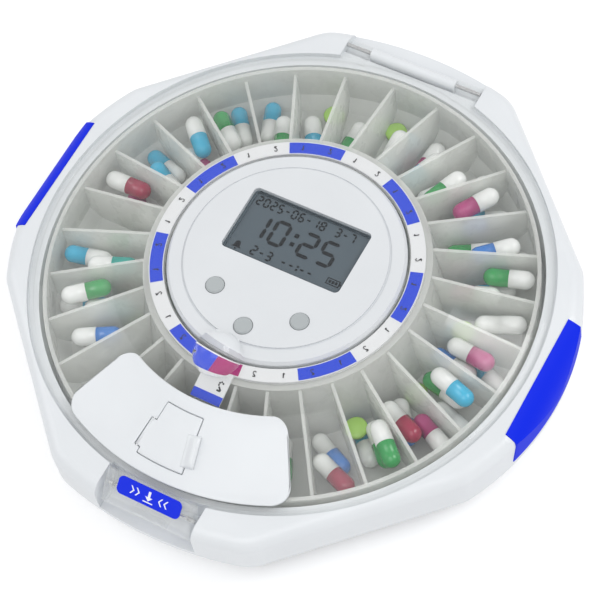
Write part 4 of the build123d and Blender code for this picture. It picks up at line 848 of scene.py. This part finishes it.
def make_latch_sign():
    """Plain press sign on the blue label: a down arrow over a line, between pairs of chevrons."""
    low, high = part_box("latch_label")
    middle = (Vector(low) + Vector(high)) / 2
    place = Matrix.Translation(middle) @ Matrix.Rotation(math.atan(LATCH_FACE_SLOPE), 4, "X")
    outlines = [placed_outline(outline, (0.0, 0.0)) for outline in (ARROW_SHAFT, ARROW_HEAD, SIGN_LINE)]
    for side in (-1, 1):
        for step in (0, 1):
            u = CHEVRON_START + CHEVRON_PITCH * step
            outlines.append([(side * (u + p) * MM, q * MM) for p, q in CHEVRON])
    sign = bmesh.new()
    for outline in outlines:
        slab(sign, outline, LATCH_SIGN_LIFT, LATCH_SIGN_LIFT + LCD_LIFT, place)
    add_object("latch_sign", sign, LABEL_WHITE, "latch")


# ---------------------------------------------------------------- pills
PILL_COLORS = {
    "white": (0.86, 0.87, 0.86),
    "green": (0.02, 0.34, 0.08),
    "teal": (0.03, 0.42, 0.36),
    "lime": (0.40, 0.70, 0.12),
    "blue": (0.015, 0.20, 0.66),
    "cyan": (0.04, 0.48, 0.74),
    "crimson": (0.36, 0.01, 0.06),
    "magenta": (0.45, 0.04, 0.20),
}
PILL_MATERIALS = {
    key: moulded("pill_" + key, color, 0.22, variation=0.01, coat=0.5) for key, color in PILL_COLORS.items()
}
CAPSULE_RADIUS = 3.45 * MM
CAPSULE_LENGTH = 19.4 * MM
CAPSULE_SIDES = 20
CAPSULE_RINGS = 6
CAP_STEP = 0.12 * MM
CAP_LIP = 0.02 * MM
TABLET_RADIUS = 4.3 * MM
TABLET_HEIGHT = 3.6 * MM
TABLET_SIDES = 28
TABLET_RINGS = 5
TABLET_FACE = 0.93
TABLET_DOME = 0.9 * MM
TABLET_BAND = 0.7 * MM
POLE_RADIUS = 0.01 * MM
PILL_INNER_LIMIT = 59.0 * MM
PILL_OUTER_LIMIT = 91.0 * MM
DIVIDER_WIDTH = 1.5 * MM
STACK_STEP = 0.25 * MM
CORE_LENGTH = CAPSULE_LENGTH - 2 * CAPSULE_RADIUS
CORE_SAMPLES = 8

# Compartment: its pills from the lowest up, each with its distance from the centre in mm, its heading
# from the outward direction in degrees, and its colours: two for a capsule, one for a tablet.
# pill_core and make_pills keep each pill clear of the dividers and of the pills under it.
DOSES = {
    1: ((76, 10, "white", "cyan"),),
    2: ((69, 0, "white", "green"),),
    3: ((68, 25, "white", "blue"), (79, 30, "white", "crimson")),
    4: ((68, -8, "cyan", "white"), (74, -6, "white", "green"), (64, 0, "lime"), (78, 175, "green", "white")),
    5: ((67, -25, "white", "blue"), (71, 2, "white", "crimson"), (81, 0, "magenta", "white")),
    6: ((81, -6, "white", "white"), (72, 0, "green", "white"), (62, 0, "lime"), (76, 175, "cyan", "white")),
    7: ((82, -25, "cyan", "white"), (67, -8, "blue", "white"), (74, -5, "white", "magenta")),
    8: ((68, -6, "cyan", "white"), (80, 12, "white", "white"), (67, 0, "lime")),
    9: ((74, 8, "cyan", "white"), (68, -4, "magenta", "white"), (82, -6, "green", "white")),
    10: ((81, 6, "cyan", "white"), (67, -8, "green", "white"), (77, 5, "blue", "white")),
    11: ((79, -22, "cyan", "white"), (67, -14, "white", "blue"), (76, 8, "magenta", "white")),
    12: ((80, 8, "green", "white"), (69, -10, "white", "white"), (66, 5, "green", "white")),
    13: ((77, 10, "magenta", "white"), (70, -8, "cyan", "white")),
    14: ((75, 172, "cyan", "white"), (83, 0, "lime"), (70, 5, "white", "white")),
    15: ((72, 170, "white", "green"),),
    16: ((84, 0, "lime"), (72, 10, "cyan", "white")),
    17: ((80, 168, "cyan", "white"), (70, 172, "white", "green")),
    18: ((81, 172, "cyan", "white"), (78, 185, "green", "white")),
    19: ((72, 12, "magenta", "white"), (80, -12, "cyan", "white")),
    20: ((80, 182, "cyan", "white"), (72, 172, "cyan", "white")),
    21: ((73, 155, "magenta", "white"), (82, 8, "crimson", "white")),
    22: ((70, -160, "green", "white"),),
    23: ((68, 165, "white", "crimson"), (81, 174, "cyan", "white"), (69, 5, "teal", "white")),
    24: ((81, -5, "cyan", "white"), (70, -6, "teal", "white"), (78, 10, "green", "white"), (63, 0, "lime")),
    25: ((69, 8, "white", "white"), (76, -14, "blue", "white")),
}


def turned_rings(bm, profile, sides, place):
    """Rings of vertices from (radius, along) points turned about their axis; place puts each in space."""
    angles = [2 * math.pi * k / sides for k in range(sides)]
    rings = []
    for radius, along in profile:
        radius = max(radius, POLE_RADIUS)
        rings.append([bm.verts.new(place(radius * math.cos(a), radius * math.sin(a), along)) for a in angles])
    return rings


def capsule_mesh(first, second):
    """Two-part capsule along X; the second half is a slightly wider cap."""
    half = CORE_LENGTH / 2
    wide = CAPSULE_RADIUS + CAP_STEP
    quarter = [math.pi / 2 * i / CAPSULE_RINGS for i in range(CAPSULE_RINGS + 1)]
    body = [(CAPSULE_RADIUS * math.cos(a), -half - CAPSULE_RADIUS * math.sin(a)) for a in reversed(quarter)]
    cap = [(wide * math.cos(a), half + wide * math.sin(a)) for a in quarter]
    profile = body + [(CAPSULE_RADIUS, 0.0), (wide, CAP_LIP)] + cap
    bm = bmesh.new()
    rings = turned_rings(bm, profile, CAPSULE_SIDES, lambda u, v, along: (along, u, v))
    for i, (low, high) in enumerate(zip(rings, rings[1:])):
        for k in range(CAPSULE_SIDES):
            m = (k + 1) % CAPSULE_SIDES
            face = bm.faces.new((low[k], high[k], high[m], low[m]))
            face.material_index = 1 if i >= len(body) else 0
    bm.faces.new(rings[0])
    cap_end = bm.faces.new(list(reversed(rings[-1])))
    cap_end.material_index = 1
    bmesh.ops.recalc_face_normals(bm, faces=bm.faces)
    return bm, (PILL_MATERIALS[first], PILL_MATERIALS[second])


def tablet_mesh(color):
    """Round tablet with domed faces and a straight band."""
    radii = [TABLET_RADIUS * TABLET_FACE * i / TABLET_RINGS for i in range(TABLET_RINGS + 1)]
    under = [(r, TABLET_DOME * (r / TABLET_RADIUS) ** 2 - TABLET_HEIGHT / 2) for r in radii]
    band = [(TABLET_RADIUS, -TABLET_BAND), (TABLET_RADIUS, TABLET_BAND)]
    profile = under + band + [(r, -z) for r, z in reversed(under)]
    bm = bmesh.new()
    rings = turned_rings(bm, profile, TABLET_SIDES, lambda u, v, along: (u, v, along))
    for low, high in zip(rings, rings[1:]):
        for k in range(TABLET_SIDES):
            m = (k + 1) % TABLET_SIDES
            bm.faces.new((low[k], low[m], high[m], high[k]))
    bm.faces.new(list(reversed(rings[0])))
    bm.faces.new(rings[-1])
    bmesh.ops.recalc_face_normals(bm, faces=bm.faces)
    return bm, (PILL_MATERIALS[color],)


def pill_core(compartment, distance, heading, length, side):
    """Ends of a pill's core line on the floor, turned and shifted no further than its compartment lets it."""
    margin = length / 2 + CAPSULE_RADIUS
    distance = min(max(distance * MM, PILL_INNER_LIMIT + margin), PILL_OUTER_LIMIT - margin)
    width = 2 * (distance - length / 2) * math.tan(math.radians(SECTOR / 2))
    free = width - DIVIDER_WIDTH - 2 * CAPSULE_RADIUS
    most = math.degrees(math.asin(min(max(free, 0.0) / max(length, CAPSULE_RADIUS), 1.0)))
    back = 180.0 if math.cos(math.radians(heading)) < 0 else 0.0
    lean = (heading - back + 180.0) % 360.0 - 180.0
    outward = math.radians(START_ANGLE + SECTOR * compartment)
    lean = min(max(lean, -most), most)
    along = outward + math.radians(back + lean)
    shift = side * max(free - length * math.sin(math.radians(abs(lean))), 0.0) / 2
    middle = Vector((distance * math.cos(outward), distance * math.sin(outward), TRAY_FLOOR_Z))
    middle += Vector((-math.sin(outward), math.cos(outward), 0.0)) * shift
    reach = Vector((math.cos(along), math.sin(along), 0.0)) * (length / 2)
    return middle - reach, middle + reach


def core_gap(first, second):
    """Least distance between two core lines, measured on points of the first."""
    start, end = second
    line = end - start
    least = math.inf
    for i in range(CORE_SAMPLES + 1):
        point = first[0].lerp(first[1], i / CORE_SAMPLES)
        share = (point - start).dot(line) / line.length_squared if line.length_squared else 0.0
        least = min(least, (point - start - line * min(max(share, 0.0), 1.0)).length)
    return least


def make_pills():
    """All the pills in the tray, each resting on the floor or on the pills under it."""
    for compartment, doses in DOSES.items():
        placed = []
        for number, (distance, heading, *colors) in enumerate(doses):
            capsule = len(colors) == 2
            thick = CAPSULE_RADIUS + CAP_STEP if capsule else TABLET_HEIGHT / 2
            side = 1 if (compartment + number) % 2 else -1
            core = pill_core(compartment, distance, heading, CORE_LENGTH if capsule else 0.0, side)
            core = [end + Vector((0.0, 0.0, thick)) for end in core]
            while any(core_gap(core, other) < thick + other_thick for other, other_thick in placed):
                core = [end + Vector((0.0, 0.0, STACK_STEP)) for end in core]
            placed.append((core, thick))
            bm, materials = capsule_mesh(*colors) if capsule else tablet_mesh(*colors)
            direction = core[1] - core[0]
            turn = Matrix.Rotation(math.atan2(direction.y, direction.x), 4, "Z")
            place = Matrix.Translation((core[0] + core[1]) / 2) @ turn
            bmesh.ops.transform(bm, matrix=place, verts=bm.verts)
            add_object(f"pill_{compartment}_{number}", bm, materials, "tray", smooth=True)


# ---------------------------------------------------------------- stage, light, camera
FLOOR_HALF = 1.6
FLOOR_COLOR = (0.93, 0.93, 0.935, 1.0)
FLOOR_ROUGHNESS = 0.9
FLOOR_SPECULAR = 0.1
FLOOR_GLOW = 0.16
WORLD_STRENGTH = 0.73
LAMP_AIM = (0.0, 0.0, 0.03)
# Lamps: name, place and side in metres, and energy in watts.
LAMPS = (
    ("key", (0.75, 0.45, 0.95), 0.6, 4.0),
    ("fill", (0.15, -0.55, 1.15), 0.8, 3.2),
    ("rim", (-0.95, -0.25, 0.75), 0.7, 1.6),
)


def make_stage():
    """Pale floor that shows white to the camera and keeps the shadow."""
    bm = bmesh.new()
    corners = ((-1, -1), (1, -1), (1, 1), (-1, 1))
    bm.faces.new([bm.verts.new((x * FLOOR_HALF, y * FLOOR_HALF, 0.0)) for x, y in corners])
    mesh = bpy.data.meshes.new("floor")
    bm.to_mesh(mesh)
    bm.free()
    floor = bpy.data.objects.new("floor", mesh)
    bpy.context.scene.collection.objects.link(floor)
    material, tree, shader = new_material("floor_white")
    shader.inputs["Base Color"].default_value = FLOOR_COLOR
    shader.inputs["Roughness"].default_value = FLOOR_ROUGHNESS
    shader.inputs["Specular IOR Level"].default_value = FLOOR_SPECULAR
    path = tree.nodes.new("ShaderNodeLightPath")
    glow = add_node(tree, "ShaderNodeEmission", Color=PLAIN_WHITE)
    seen = add_node(tree, "ShaderNodeMath")
    seen.operation = "MULTIPLY"
    seen.inputs[1].default_value = FLOOR_GLOW
    tree.links.new(path.outputs["Is Camera Ray"], seen.inputs[0])
    tree.links.new(seen.outputs["Value"], glow.inputs["Strength"])
    both = tree.nodes.new("ShaderNodeAddShader")
    tree.links.new(shader.outputs["BSDF"], both.inputs[0])
    tree.links.new(glow.outputs["Emission"], both.inputs[1])
    tree.links.new(both.outputs["Shader"], tree.nodes["Material Output"].inputs["Surface"])
    mesh.materials.append(material)


def make_world():
    """White surroundings."""
    world = bpy.data.worlds.new("studio")
    bpy.context.scene.world = world
    world.use_nodes = True
    tree = world.node_tree
    background = tree.nodes["Background"]
    background.inputs["Color"].default_value = PLAIN_WHITE
    background.inputs["Strength"].default_value = WORLD_STRENGTH
    plain = add_node(tree, "ShaderNodeBackground", Color=PLAIN_WHITE, Strength=1.0)
    path = tree.nodes.new("ShaderNodeLightPath")
    mix = tree.nodes.new("ShaderNodeMixShader")
    tree.links.new(path.outputs["Is Camera Ray"], mix.inputs["Fac"])
    tree.links.new(background.outputs["Background"], mix.inputs[1])
    tree.links.new(plain.outputs["Background"], mix.inputs[2])
    tree.links.new(mix.outputs["Shader"], tree.nodes["World Output"].inputs["Surface"])


def make_lights():
    """Square soft lamps: key from the rear right, high fill from the front, rim from the left."""
    for name, place, side, energy in LAMPS:
        light = bpy.data.lights.new(name, "AREA")
        light.size = side
        light.energy = energy
        lamp = bpy.data.objects.new(name, light)
        bpy.context.scene.collection.objects.link(lamp)
        lamp.location = place
        lamp.rotation_euler = (Vector(LAMP_AIM) - Vector(place)).to_track_quat("-Z", "Y").to_euler()


def make_camera():
    """Camera that sees the object as the photograph does."""
    azimuth, elevation, roll = (math.radians(v) for v in (CAMERA_AZIMUTH, CAMERA_ELEVATION, CAMERA_ROLL))
    outward = Vector((math.sin(azimuth), -math.cos(azimuth), 0.0))
    look = -outward * math.cos(elevation) - Vector((0.0, 0.0, math.sin(elevation)))
    level = Vector((math.cos(azimuth), math.sin(azimuth), 0.0))
    upright = level.cross(look)
    right = level * math.cos(roll) - upright * math.sin(roll)
    up = level * math.sin(roll) + upright * math.cos(roll)
    focal_pixels = CAMERA_LENS / SENSOR_WIDTH * PHOTO_SIZE
    offset_x = (AIM_PIXEL[0] - PHOTO_SIZE / 2) / focal_pixels * CAMERA_DISTANCE
    offset_y = -(AIM_PIXEL[1] - PHOTO_SIZE / 2) / focal_pixels * CAMERA_DISTANCE
    place = AIM_POINT - offset_x * right - offset_y * up - CAMERA_DISTANCE * look
    data = bpy.data.cameras.new("camera")
    data.lens = CAMERA_LENS
    data.sensor_width = SENSOR_WIDTH
    data.clip_start = CAMERA_NEAR_LIMIT
    camera = bpy.data.objects.new("camera", data)
    bpy.context.scene.collection.objects.link(camera)
    turn = Matrix((right, up, -look)).transposed().to_4x4()
    camera.matrix_world = Matrix.Translation(place) @ turn
    bpy.context.scene.camera = camera


# ---------------------------------------------------------------- scene
dress_nodes()
make_ring_print()
make_tab_print()
make_lid_panel()
make_flap()
make_lens()
make_display()
make_latch_sign()
make_pills()
make_stage()
make_world()
make_lights()
make_camera()
bpy.context.scene.view_settings.view_transform = "Standard"
